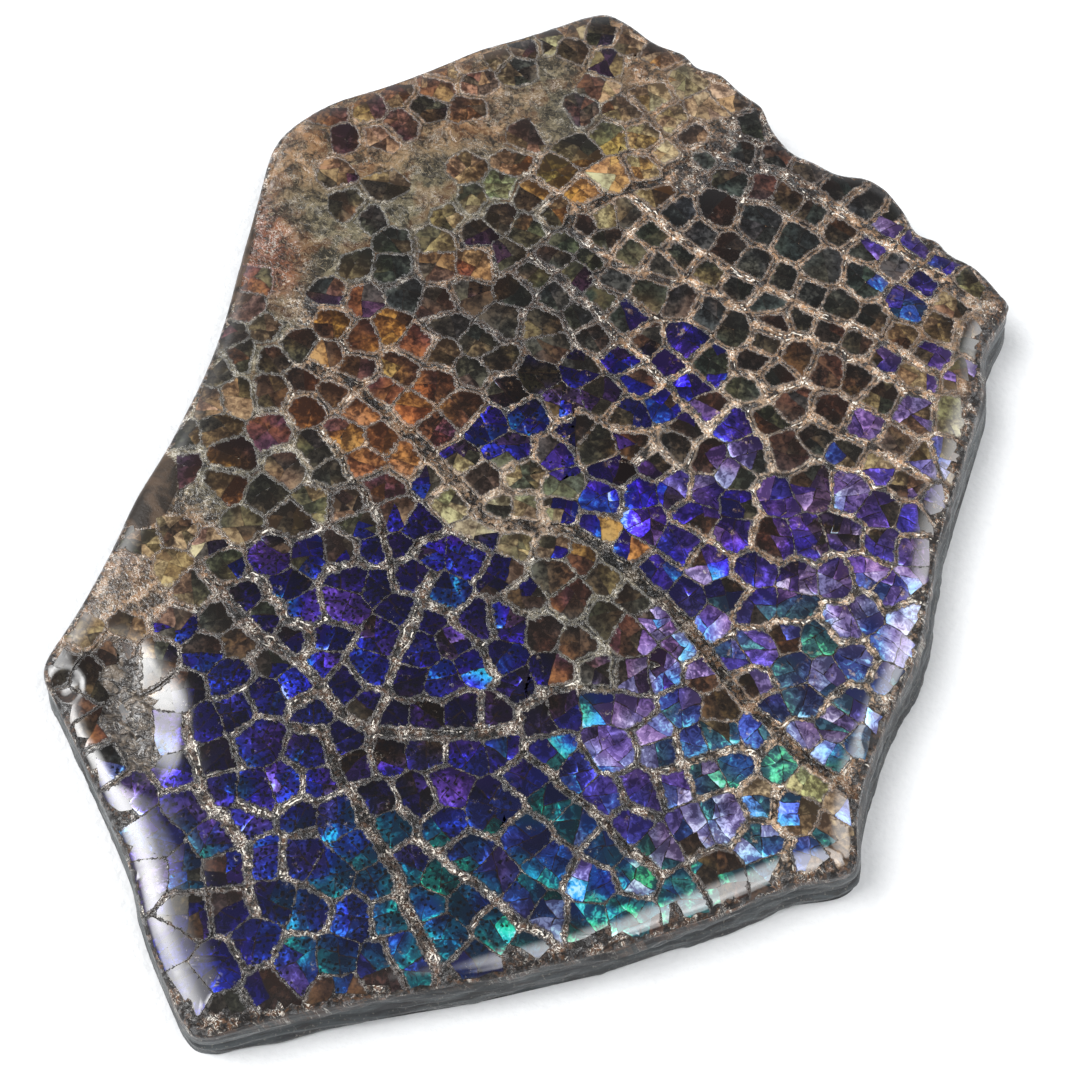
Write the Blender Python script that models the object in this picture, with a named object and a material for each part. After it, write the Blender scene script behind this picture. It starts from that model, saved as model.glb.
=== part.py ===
"""Ammolite specimen: a flat slab of shale that carries a crushed, polished ammonite shell.

The slab lies on its sawn underside, +Z up, with its origin under the middle of its box. Its plan is a
named outline in millimetres. The wall steps in and out with the shale's layers, the ground sides round
over in a soft shoulder, and the top is broken into some hundreds of low plates with sunken veins between
them.
"""

import math

import bpy
import numpy as np
from mathutils import Vector
from mathutils.geometry import delaunay_2d_cdt

MM = 0.001

TOP_HEIGHT = 7.8
GROUND_RIM = 6.4
BROKEN_RIM = 7.3
GROUND_SHOULDER = 7.0
BROKEN_SHOULDER = 2.0
# How squarely the shoulder rounds over: 2 is a quarter circle, and more is squarer.
SHOULDER_POWER = 2.4
# The top's two slow waves: height, and the mm along X and Y that make a radian of each.
ROLLING = ((0.22, 13, 17), (0.15, 9, 9))

# The plan, clockwise from the far tip. Each stretch: points, rim height, shoulder width, how far the wall
# leans in from foot to rim, how boldly its layers step, and the spacing of the wall's points.
STRETCHES = {
    "broken edge": (
        [
            (-5, 72.5), (-1, 71), (2.5, 68.5), (7.5, 67.5), (8.5, 65.5), (12, 65.5), (15.5, 62.5), (18.5, 61),
            (20, 57.5), (23, 54), (26, 53.5), (29, 52), (33, 52.5), (36, 51), (39, 47.5), (40.5, 44.5),
            (43.5, 44.5), (44.5, 42.5), (48, 41.5), (52, 38),
        ],
        BROKEN_RIM, BROKEN_SHOULDER, 0.3, 0.4, 1.3,
    ),
    "right side": (
        [
            (54.5, 37), (54.5, 33.5), (52.5, 29.5), (52, 27), (53, 22.5), (51.5, 15), (48.5, 0), (47.5, -12),
            (46.5, -17), (44.5, -22), (42.5, -29), (41.5, -36),
        ],
        6.6, 6.0, 1.9, 0.8, 2.4,
    ),
    "near side": (
        [
            (41.5, -42), (38.5, -44), (34, -45), (26, -50), (14, -56.5), (1, -62), (-16, -68), (-23, -71),
            (-26.5, -72.5),
        ],
        GROUND_RIM, 6.0, 0.5, 1.0, 2.2,
    ),
    "left side": (
        [(-28, -72.5), (-29.5, -71), (-32, -67.5), (-36, -62), (-38.5, -56.5), (-42, -51.5), (-48, -43.5)],
        6.2, GROUND_SHOULDER, 0.4, 0.5, 2.4,
    ),
    "left bay": (
        [
            (-54.5, -35), (-53.5, -32.5), (-51.5, -26), (-49.5, -16), (-49.5, -13.5), (-47, -4.5), (-45, 6.5),
            (-44.5, 13),
        ],
        GROUND_RIM, GROUND_SHOULDER, 0.2, 0.3, 2.6,
    ),
    "far left side": (
        [
            (-44.5, 40), (-43.5, 43.5), (-38.5, 49.5), (-32, 53.5), (-25.5, 58.5), (-21, 62.5), (-15, 66),
            (-8, 71),
        ],
        6.8, 4.0, 0.2, 0.3, 2.6,
    ),
}

# Layers of the shale: height as a share of the rim's, and how far that line stands in from the outline.
LAYERS = (
    (0.00, 0.45), (0.08, 0.0), (0.33, 0.1), (0.38, 0.55), (0.58, 0.45), (0.63, 0.1), (0.84, 0.25),
    (0.89, 0.5), (1.00, 0.8),
)
# How each layer's line wanders round the wall: size, turns of the wave, and its shift from foot to rim.
WANDERS = ((0.18, 9, 7), (0.14, 23, 19))

# Main seams of the crushed shell, drawn as someone would sketch them on the slab.
SEAMS = {
    "great seam": [
        (-32, 9), (-26, 7), (-20, 3), (-11, -4), (-7, -8), (2, -7), (6, -9), (13, -13), (19, -18), (24, -24),
        (32, -30), (38, -33),
    ],
    "light rib": [(-7, 29), (-1, 25), (5, 20), (10, 15), (15, 11)],
    "cross rib": [(25, 17), (20, 13), (15, 11), (11, 8), (9, 5)],
    "first rib": [(4, 41), (11, 36), (18, 33), (26, 30), (34, 28), (42, 24)],
    "second rib": [(-4, 35), (3, 31), (14, 29), (20, 26), (34, 23), (42, 19)],
    "third rib": [(13, 23), (18, 20), (24, 16), (29, 14), (35, 12), (42, 9)],
    "tan rib": [(12, 52), (15, 50), (22, 50), (30, 45), (38, 41), (46, 36)],
    "bright ledge": [(-5, 36), (1, 43), (5, 45), (11, 52)],
    "short crack": [(-28, -1), (-21, -9), (-17, -17)],
    "arch": [(-23, -16), (-17, -13), (-11, -9)],
    "long left seam": [(-38, -21), (-32, -26), (-26, -29), (-20, -34), (-16, -36), (-9, -35), (-2, -33)],
    "inner seam": [(-2, -33), (0, -30), (3, -27), (8, -26)],
    "near diagonal": [(-1, -34), (3, -36), (10, -41), (16, -45)],
    "left branch": [(-33, -18), (-29, -23), (-25, -27)],
    "middle upright": [(-13, -17), (-15, -26), (-16, -37)],
    "middle branch": [(-13, -17), (-10, -20), (-5, -25)],
    "long upright": [(-27, -27), (-23, -34), (-19, -41), (-15, -46), (-10, -52), (-6, -58)],
    "near branch": [(-11, -44), (-5, -49), (2, -53), (6, -55)],
    "outer upright": [(-36, -39), (-32, -47), (-27, -51), (-25, -57)],
    "outer rung": [(-29, -49), (-23, -45), (-20, -43)],
    "lower rung": [(-25, -53), (-22, -49), (-19, -47)],
    "right rung": [(17, -34), (27, -29)],
    "right hook": [(17, -30), (17, -34), (14, -39)],
    "rust seam": [(31, -33), (29, -38), (32, -43)],
}

# Hollows of the top: middle, radius and depth.
HOLLOWS = (
    (-42.5, -38.0, 4.6, 1.1),
    (-40.0, -43.0, 3.0, 0.7),
    (-45.5, -33.0, 3.2, 0.6),
    (-50.5, -36.5, 1.6, 0.7),
    (40.5, -26.0, 1.5, 0.7),
)

PLATE_SPACING = 4.2
RIB_PLATE_SPACING = 3.7
VEIN_HALF_WIDTH = 0.9
VEIN_DEPTH = 0.38
SEAM_DEPTH = 0.5
SEAM_REACH = 1.3
# The veins fade out over this distance from the rim.
RIM_FADE = 1.5
CORNER_GAP = 0.9
SEED = 41


def clear_scene():
    for obj in list(bpy.data.objects):
        bpy.data.objects.remove(obj, do_unlink=True)


def along(points, step):
    """Points every step along an open line of straight runs, with the line's normals there."""
    points = np.asarray(points, float)
    run = np.hypot(*np.diff(points, axis=0).T)
    length = np.concatenate([[0.0], np.cumsum(run)])
    count = max(2, int(round(length[-1] / step)) + 1)
    at = np.linspace(0.0, length[-1], count)
    line = np.stack([np.interp(at, length, points[:, 0]), np.interp(at, length, points[:, 1])], axis=1)
    way = np.gradient(line, axis=0)
    way /= np.linalg.norm(way, axis=1, keepdims=True)
    return line, np.stack([-way[:, 1], way[:, 0]], axis=1)


def softened(values, passes):
    """A closed line's values with each point drawn towards its neighbours, passes times over."""
    for _ in range(passes):
        values = 0.5 * values + 0.25 * (np.roll(values, 1, axis=0) + np.roll(values, -1, axis=0))
    return values


def outline():
    """The plan's points, outward normals, rim height, shoulder width, lean and layer step at each."""
    stretches = list(STRETCHES.values())
    points, traits = [], []
    for index, (corners, rim, shoulder, lean, step, spacing) in enumerate(stretches):
        closing = stretches[(index + 1) % len(stretches)][0][0]
        line, _ = along(corners + [closing], spacing)
        points.append(line[:-1])
        traits.append(np.tile([rim, shoulder, lean, step], (len(line) - 1, 1)))
    points = softened(np.concatenate(points), 1)
    traits = softened(np.concatenate(traits), 6)
    way = np.roll(points, -1, axis=0) - np.roll(points, 1, axis=0)
    normals = np.stack([-way[:, 1], way[:, 0]], axis=1)
    normals /= np.linalg.norm(normals, axis=1, keepdims=True)
    middle = (points.min(axis=0) + points.max(axis=0)) / 2
    return points - middle, softened(normals, 2), traits


def wall_ring(points, normals, traits, share, inset):
    """One line round the wall: the outline drawn in by its lean and by the layer's own step."""
    rim, _, lean, step = traits.T
    turn = np.arange(len(points)) * (2 * math.pi / len(points))
    wander = sum(size * np.sin(turns * turn + shift * share) for size, turns, shift in WANDERS)
    drawn_in = lean * share + step * (inset + wander * (0.0 < share < 1.0))
    ring = points - normals * drawn_in[:, None]
    return np.column_stack([ring, rim * share])


def line_distance(where, start, end):
    """How far each place is from the nearest straight run from start to end, and which run that is."""
    run = end - start
    reach = where[:, None] - start
    share = np.clip((reach * run).sum(-1) / (run * run).sum(-1), 0.0, 1.0)
    gap = np.linalg.norm(reach - share[..., None] * run, axis=-1)
    nearest = gap.argmin(axis=1)
    return gap[np.arange(len(where)), nearest], nearest


def seam_distance(where):
    starts = np.concatenate([np.asarray(line, float)[:-1] for line in SEAMS.values()])
    ends = np.concatenate([np.asarray(line, float)[1:] for line in SEAMS.values()])
    return line_distance(where, starts, ends)[0]


def inside(where, loop):
    """Whether each place lies in the loop, by counting the loop's crossings to its right."""
    start, end = loop, np.roll(loop, -1, axis=0)
    x, y = where[:, None, 0], where[:, None, 1]
    spans = (start[:, 1] > y) != (end[:, 1] > y)
    rise = np.where(end[:, 1] == start[:, 1], 1.0, end[:, 1] - start[:, 1])
    crossing = start[:, 0] + (y - start[:, 1]) / rise * (end[:, 0] - start[:, 0])
    return (spans & (x < crossing)).sum(axis=1) % 2 == 1


def plate_seeds(loop):
    """Middles of the plates: mirrored pairs along the seams, then darts at a local spacing, evened out."""
    rng = np.random.default_rng(SEED)
    seeds = []
    for line in SEAMS.values():
        places, normals = along(line, PLATE_SPACING)
        sides = PLATE_SPACING * rng.uniform(0.38, 0.5, len(places))[:, None] * normals
        for place in np.concatenate([places + sides, places - sides]):
            if not seeds or np.linalg.norm(np.array(seeds) - place, axis=1).min() > 0.66 * PLATE_SPACING:
                seeds.append(place)
    fixed = len(seeds)
    darts = rng.uniform(loop.min(axis=0), loop.max(axis=0), (16000, 2))
    sizes = rng.uniform(0.72, 1.12, len(darts))
    for place, size in zip(darts, sizes):
        ribbed = place[0] > 0 and place[1] > 5
        spacing = size * (RIB_PLATE_SPACING if ribbed else PLATE_SPACING)
        if np.linalg.norm(np.array(seeds) - place, axis=1).min() > spacing:
            seeds.append(place)
    seeds = np.array(seeds)
    keep = inside(seeds, loop)
    fixed = int(keep[:fixed].sum())
    seeds = seeds[keep]
    sides = [np.arange(low, high, 0.7) for low, high in zip(loop.min(axis=0), loop.max(axis=0))]
    x, y = np.meshgrid(*sides)
    cover = np.stack([x.ravel(), y.ravel()], axis=1)
    cover = cover[inside(cover, loop)]
    for _ in range(3):
        owner = nearest_seeds(cover, seeds)[1]
        count = np.maximum(np.bincount(owner, minlength=len(seeds)), 1)
        middles = np.stack([np.bincount(owner, cover[:, k], len(seeds)) / count for k in (0, 1)], axis=1)
        seeds[fixed:] = 0.5 * seeds[fixed:] + 0.5 * middles[fixed:]
    return seeds


def nearest_seeds(where, seeds):
    """Distance from each place to the edge of its plate, and the plate's number."""
    square = ((where[:, None] - seeds) ** 2).sum(-1)
    pair = np.argpartition(square, 1, axis=1)[:, :2]
    near = np.take_along_axis(square, pair, axis=1)
    order = np.argsort(near, axis=1)
    pair = np.take_along_axis(pair, order, axis=1)
    near = np.take_along_axis(near, order, axis=1)
    apart = np.linalg.norm(seeds[pair[:, 0]] - seeds[pair[:, 1]], axis=1)
    return (near[:, 1] - near[:, 0]) / (2 * apart), pair[:, 0]


def smooth_step(share):
    share = np.clip(share, 0.0, 1.0)
    return share * share * (3 - 2 * share)


def top_height(where, rim_loop, traits, seeds):
    """The top's height: level ground that rounds down to the rim, with slow waves, hollows and veins."""
    gap, run = line_distance(where, rim_loop, np.roll(rim_loop, -1, axis=0))
    rim, shoulder = traits[run, 0], traits[run, 1]
    x, y = where.T
    (broad, x_wave, y_wave), (slight, wave, _) = ROLLING
    rolling = broad * np.sin(x / x_wave + 0.5) * np.cos(y / y_wave - 0.4)
    rolling = rolling + slight * np.sin((x - y) / wave)
    rise = np.sqrt(1 - (1 - np.clip(gap / shoulder, 0.0, 1.0)) ** SHOULDER_POWER)
    height = rim + (TOP_HEIGHT + rolling - rim) * rise
    for middle_x, middle_y, radius, depth in HOLLOWS:
        height -= depth * np.exp(-(((x - middle_x) ** 2 + (y - middle_y) ** 2) / radius**2) ** 1.5)
    to_edge, _ = nearest_seeds(where, seeds)
    seam = np.exp(-((seam_distance(where) / SEAM_REACH) ** 2))
    vein = 1 - smooth_step(to_edge / VEIN_HALF_WIDTH)
    fade = smooth_step(gap / RIM_FADE)
    return height - fade * vein * (VEIN_DEPTH + SEAM_DEPTH * seam)


def plate_corners(seeds):
    """Places where three plates meet: the middles of the circles through each three neighbouring seeds."""
    _, _, faces, _, _, _ = delaunay_2d_cdt([Vector(seed) for seed in seeds], [], [], 0, 1e-6)
    a, b, c = (seeds[np.array(faces)[:, k]] for k in range(3))
    ab, ac = b - a, c - a
    twice_area = 2 * (ab[:, 0] * ac[:, 1] - ab[:, 1] * ac[:, 0])
    ab2, ac2 = (ab**2).sum(1), (ac**2).sum(1)
    x = (ac[:, 1] * ab2 - ab[:, 1] * ac2) / twice_area
    y = (ab[:, 0] * ac2 - ac[:, 0] * ab2) / twice_area
    return a + np.stack([x, y], axis=1)


def spaced(places, kept, gap):
    """The places that stay at least gap from those kept and from each other, first come first kept."""
    chosen = list(kept)
    for place in places:
        if np.linalg.norm(np.array(chosen) - place, axis=1).min() > gap:
            chosen.append(place)
    return np.array(chosen[len(kept):])


def slab_mesh():
    """Wall rings from foot to rim, a triangulated top of plates and veins, and a flat underside."""
    points, normals, traits = outline()
    count = len(points)
    rings = [wall_ring(points, normals, traits, share, inset) for share, inset in LAYERS]
    rim_loop = rings[-1][:, :2]
    seeds = plate_seeds(rim_loop)
    corners = plate_corners(seeds)
    corners = corners[inside(corners, rim_loop)]
    inner = np.concatenate([seeds, spaced(corners, seeds, CORNER_GAP)])
    inner = inner[line_distance(inner, rim_loop, np.roll(rim_loop, -1, axis=0))[0] > CORNER_GAP]
    plan = np.concatenate([rim_loop, inner])
    loop = list(range(count))
    flat, _, faces, _, _, _ = delaunay_2d_cdt([Vector(place) for place in plan], [], [loop], 1, 1e-6)
    flat = np.array([tuple(place) for place in flat])
    if len(flat) != len(plan):
        raise ValueError("the top's outline crosses itself")
    height = top_height(flat, rim_loop, traits, seeds)
    height[:count] = traits[:, 0]

    first_top = (len(rings) - 1) * count
    vertices = np.concatenate([*rings[:-1], np.column_stack([flat, height])])
    around = np.arange(count)
    beside = np.roll(around, -1)
    walls = [
        np.column_stack([low + around, low + count + around, low + count + beside, low + beside])
        for low in range(0, first_top, count)
    ]
    polygons = [tuple(face) for wall in walls for face in wall.tolist()]
    polygons += [tuple(first_top + np.array(face)) for face in faces]
    polygons.append(tuple(range(count)))
    mesh = bpy.data.meshes.new("ammolite_slab")
    mesh.from_pydata((vertices * MM).tolist(), [], polygons)
    mesh.validate()
    return mesh


def polished_shell():
    """Principled material of polished nacre on shale: very dark blue-brown, glossy."""
    material = bpy.data.materials.new("polished shell on shale")
    material.use_nodes = True
    shader = material.node_tree.nodes["Principled BSDF"]
    shader.inputs["Base Color"].default_value = (0.045, 0.03, 0.11, 1.0)
    shader.inputs["Roughness"].default_value = 0.18
    shader.inputs["Metallic"].default_value = 0.0
    return material


def main():
    clear_scene()
    collection = bpy.data.collections.new("ammolite specimen")
    bpy.context.scene.collection.children.link(collection)
    slab = bpy.data.objects.new("ammolite_slab", slab_mesh())
    slab.data.materials.append(polished_shell())
    slab.data.shade_smooth()
    slab.data.set_sharp_from_angle(angle=math.radians(30))
    collection.objects.link(slab)


main()
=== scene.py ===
import math
from collections import namedtuple
from functools import partial

import bpy
import numpy as np
from mathutils import Matrix


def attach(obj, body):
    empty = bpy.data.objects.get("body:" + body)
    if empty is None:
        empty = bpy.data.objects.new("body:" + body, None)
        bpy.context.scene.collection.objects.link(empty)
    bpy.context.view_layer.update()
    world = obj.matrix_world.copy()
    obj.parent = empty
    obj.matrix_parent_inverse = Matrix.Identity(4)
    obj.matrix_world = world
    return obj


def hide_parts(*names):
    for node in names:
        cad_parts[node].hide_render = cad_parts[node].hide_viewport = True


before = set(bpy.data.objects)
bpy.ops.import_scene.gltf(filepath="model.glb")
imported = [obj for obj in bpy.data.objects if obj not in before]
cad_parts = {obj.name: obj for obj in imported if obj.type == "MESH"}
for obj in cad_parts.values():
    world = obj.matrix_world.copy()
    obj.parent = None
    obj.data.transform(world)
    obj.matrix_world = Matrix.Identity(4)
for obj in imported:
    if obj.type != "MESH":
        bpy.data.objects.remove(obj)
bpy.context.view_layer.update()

# The slab's levels, in millimetres, as the solid has them. The top rolls by two waves, each given by its
# height and its lengths over 2 pi. The visual stays in the solid's box: drawn in by a hair, and cut off just
# under its top.
MM = 0.001
WITHIN = 0.9995
HIGHEST = 8.15
TOP_HEIGHT = 7.8
ROLLING = ((0.22, 13, 17), (0.15, 9))
# Stretches of the plan's outline: corners, the rim's height, how wide the shoulder rounds, how far the wall
# leans in and its layers step, and the spacing of the points.
STRETCHES = {
    "broken edge": (
        [
            (-5, 72.5), (-1, 71), (2.5, 68.5), (7.5, 67.5), (8.5, 65.5), (12, 65.5), (15.5, 62.5), (18.5, 61),
            (20, 57.5), (23, 54), (26, 53.5), (29, 52), (33, 52.5), (36, 51), (39, 47.5), (40.5, 44.5),
            (43.5, 44.5), (44.5, 42.5), (48, 41.5), (52, 38),
        ],
        7.3, 2.0, 0.3, 0.4, 1.3,
    ),
    "right side": (
        [
            (54.5, 37), (54.5, 33.5), (52.5, 29.5), (52, 27), (53, 22.5), (51.5, 15), (48.5, 0), (47.5, -12),
            (46.5, -17), (44.5, -22), (42.5, -29), (41.5, -36),
        ],
        6.6, 6.0, 1.9, 0.8, 2.4,
    ),
    "near side": (
        [
            (41.5, -42), (38.5, -44), (34, -45), (26, -50), (14, -56.5), (1, -62), (-16, -68), (-23, -71),
            (-26.5, -72.5),
        ],
        6.4, 6.0, 0.5, 1.0, 2.2,
    ),
    "left side": (
        [(-28, -72.5), (-29.5, -71), (-32, -67.5), (-36, -62), (-38.5, -56.5), (-42, -51.5), (-48, -43.5)],
        6.2, 7.0, 0.4, 0.5, 2.4,
    ),
    "left bay": (
        [
            (-54.5, -35), (-53.5, -32.5), (-51.5, -26), (-49.5, -16), (-49.5, -13.5), (-47, -4.5), (-45, 6.5),
            (-44.5, 13),
        ],
        6.4, 7.0, 0.2, 0.3, 2.6,
    ),
    "far left side": (
        [
            (-44.5, 40), (-43.5, 43.5), (-38.5, 49.5), (-32, 53.5), (-25.5, 58.5), (-21, 62.5), (-15, 66),
            (-8, 71),
        ],
        6.8, 4.0, 0.2, 0.3, 2.6,
    ),
}
# How wide the brown crust along the rim is, for each stretch in turn.
CRUST_WIDTHS = (0.7, 1.3, 1.0, 0.45, 0.8, 0.6)
# The wall's layers: shares of its height, and how far the wall is set in there, in steps.
LAYERS = (
    (0.00, 0.45), (0.08, 0.0), (0.33, 0.1), (0.38, 0.55), (0.58, 0.45), (0.63, 0.1), (0.84, 0.25),
    (0.89, 0.5), (1.00, 0.8),
)
# Hollows in the top: middle, radius and depth.
HOLLOWS = (
    (-42.5, -38.0, 4.6, 1.1),
    (-40.0, -43.0, 3.0, 0.7),
    (-45.5, -33.0, 3.2, 0.6),
    (-50.5, -36.5, 1.6, 0.7),
    (40.5, -26.0, 1.5, 0.7),
)

# Main seams: places, half width in mm, and how far the mineral fill stands over or under the plates' level.
SEAMS = {
    "great seam": (
        [
            (-32, 9), (-26, 7), (-20, 3), (-11, -4), (-7, -8), (2, -7), (6, -9), (13, -13), (19, -18),
            (24, -24), (32, -30), (38, -33),
        ],
        0.75, -0.30,
    ),
    "light rib": ([(-7, 29), (-1, 25), (5, 20), (10, 15), (15, 11)], 0.45, 0.06),
    "cross rib": ([(25, 17), (20, 13), (15, 11), (11, 8), (9, 5)], 0.40, 0.04),
    "first rib": ([(4, 41), (11, 36), (18, 33), (26, 30), (34, 28), (42, 24)], 0.45, 0.06),
    "second rib": ([(-4, 35), (3, 31), (14, 29), (20, 26), (34, 23), (42, 19)], 0.50, 0.06),
    "third rib": ([(13, 23), (18, 20), (24, 16), (29, 14), (35, 12), (42, 9)], 0.45, 0.04),
    "tan rib": ([(12, 52), (15, 50), (22, 50), (30, 45), (38, 41), (46, 36)], 0.75, 0.05),
    "bright ledge": ([(-5, 36), (1, 43), (5, 45), (11, 52)], 0.60, -0.25),
    "short crack": ([(-28, -1), (-21, -9), (-17, -17)], 0.35, -0.15),
    "arch": ([(-23, -16), (-17, -13), (-11, -9)], 0.40, -0.10),
    "long left seam": (
        [(-38, -21), (-32, -26), (-26, -29), (-20, -34), (-16, -36), (-9, -35), (-2, -33)], 0.60, -0.10,
    ),
    "inner seam": ([(-2, -33), (0, -30), (3, -27), (8, -26)], 0.40, -0.10),
    "near diagonal": ([(-1, -34), (3, -36), (10, -41), (16, -45)], 0.45, -0.15),
    "left branch": ([(-33, -18), (-29, -23), (-25, -27)], 0.50, 0.0),
    "middle upright": ([(-13, -17), (-15, -26), (-16, -37)], 0.55, -0.05),
    "middle branch": ([(-13, -17), (-10, -20), (-5, -25)], 0.45, -0.10),
    "long upright": ([(-27, -27), (-23, -34), (-19, -41), (-15, -46), (-10, -52), (-6, -58)], 0.55, -0.15),
    "near branch": ([(-11, -44), (-5, -49), (2, -53), (6, -55)], 0.40, -0.05),
    "outer upright": ([(-36, -39), (-32, -47), (-27, -51), (-25, -57)], 0.50, 0.05),
    "outer rung": ([(-29, -49), (-23, -45), (-20, -43)], 0.35, -0.05),
    "lower rung": ([(-25, -53), (-22, -49), (-19, -47)], 0.35, -0.05),
    "right rung": ([(17, -34), (27, -29)], 0.40, -0.05),
    "right hook": ([(17, -30), (17, -34), (14, -39)], 0.35, -0.05),
    "rust seam": ([(31, -33), (29, -38), (32, -43)], 0.40, -0.10),
}
# How far apart the plates' middles are, and the shares of that at which pairs stand off a seam, the closest of
# them stand apart and darts vary. Then how many darts are thrown, how often the plates are evened out, the
# spacing of the places that weigh them, and the seed that all random draws start from.
PLATE_SPACING = 4.2
RIB_PLATE_SPACING = 5.1
PAIR_SHARES = (0.38, 0.5)
CLOSEST_PAIR = 0.66
DART_SHARES = (0.72, 1.12)
DARTS = 16000
EVENING_ROUNDS = 3
EVENING_STEP = 0.7
SEED = 41
# Where the rim's crust spreads inland: middle, reach, and how many mm it gains there.
WIDE_CRUST = ((52.0, 27.0, 13.0, 2.6), (37.0, -40.0, 5.0, 1.6), (-27.0, -68.0, 5.0, 1.2))

# Finishes of the plates: the colour of the plate's body, that of its flash, how far the flash shows, and the
# finishes that it drifts towards where the layers run thicker and thinner.
NACRE = {
    "electric": ("#150b70", "#3a2cff", 0.31, "violet", "azure"),
    "cobalt": ("#10185c", "#2a4ce8", 0.25, "violet", "teal"),
    "indigo": ("#110a42", "#2a1ab4", 0.20, "violet", "cobalt"),
    "midnight": ("#0a0a1c", "#1b174a", 0.14, "umber", "indigo"),
    "violet": ("#36205c", "#7850bc", 0.32, "lilac", "electric"),
    "plum": ("#2a1a2a", "#583a50", 0.26, "umber", "plum"),
    "pearl": ("#6c6c94", "#c8ccea", 0.50, "lilac", "azure"),
    "lilac": ("#68507e", "#b494c0", 0.38, "violet", "pearl"),
    "azure": ("#0d387e", "#2ab8ea", 0.34, "electric", "green"),
    "teal": ("#0a3c50", "#1a9ca0", 0.28, "cobalt", "green"),
    "green": ("#0a4c3c", "#26bc70", 0.34, "teal", "azure"),
}
STAINED = {
    "slate": ("#181c1c", "#3c4241", 0.34, "umber", "olive"),
    "umber": ("#21160f", "#4c3724", 0.32, "russet", "slate"),
    "russet": ("#3c2016", "#6e402a", 0.36, "plum", "amber"),
    "amber": ("#573816", "#a87a3a", 0.40, "russet", "honey"),
    "honey": ("#564430", "#967f5a", 0.40, "umber", "bone"),
    "olive": ("#24251b", "#4b4b36", 0.36, "slate", "honey"),
    "bone": ("#73634c", "#b8a683", 0.46, "honey", "olive"),
}
FINISHES = {**NACRE, **STAINED}
FINISH_NAMES = list(FINISHES)

# The mineral of the veins: its tone, and half its width between clusters of plates in mm.
VEINS = {
    "tan": ("#725942", 0.15),
    "brown": ("#39291e", 0.13),
    "grey": ("#585344", 0.15),
    "rust": ("#64361f", 0.18),
    "dark": ("#1e1713", 0.16),
    "cream": ("#84705c", 0.20),
}

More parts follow.
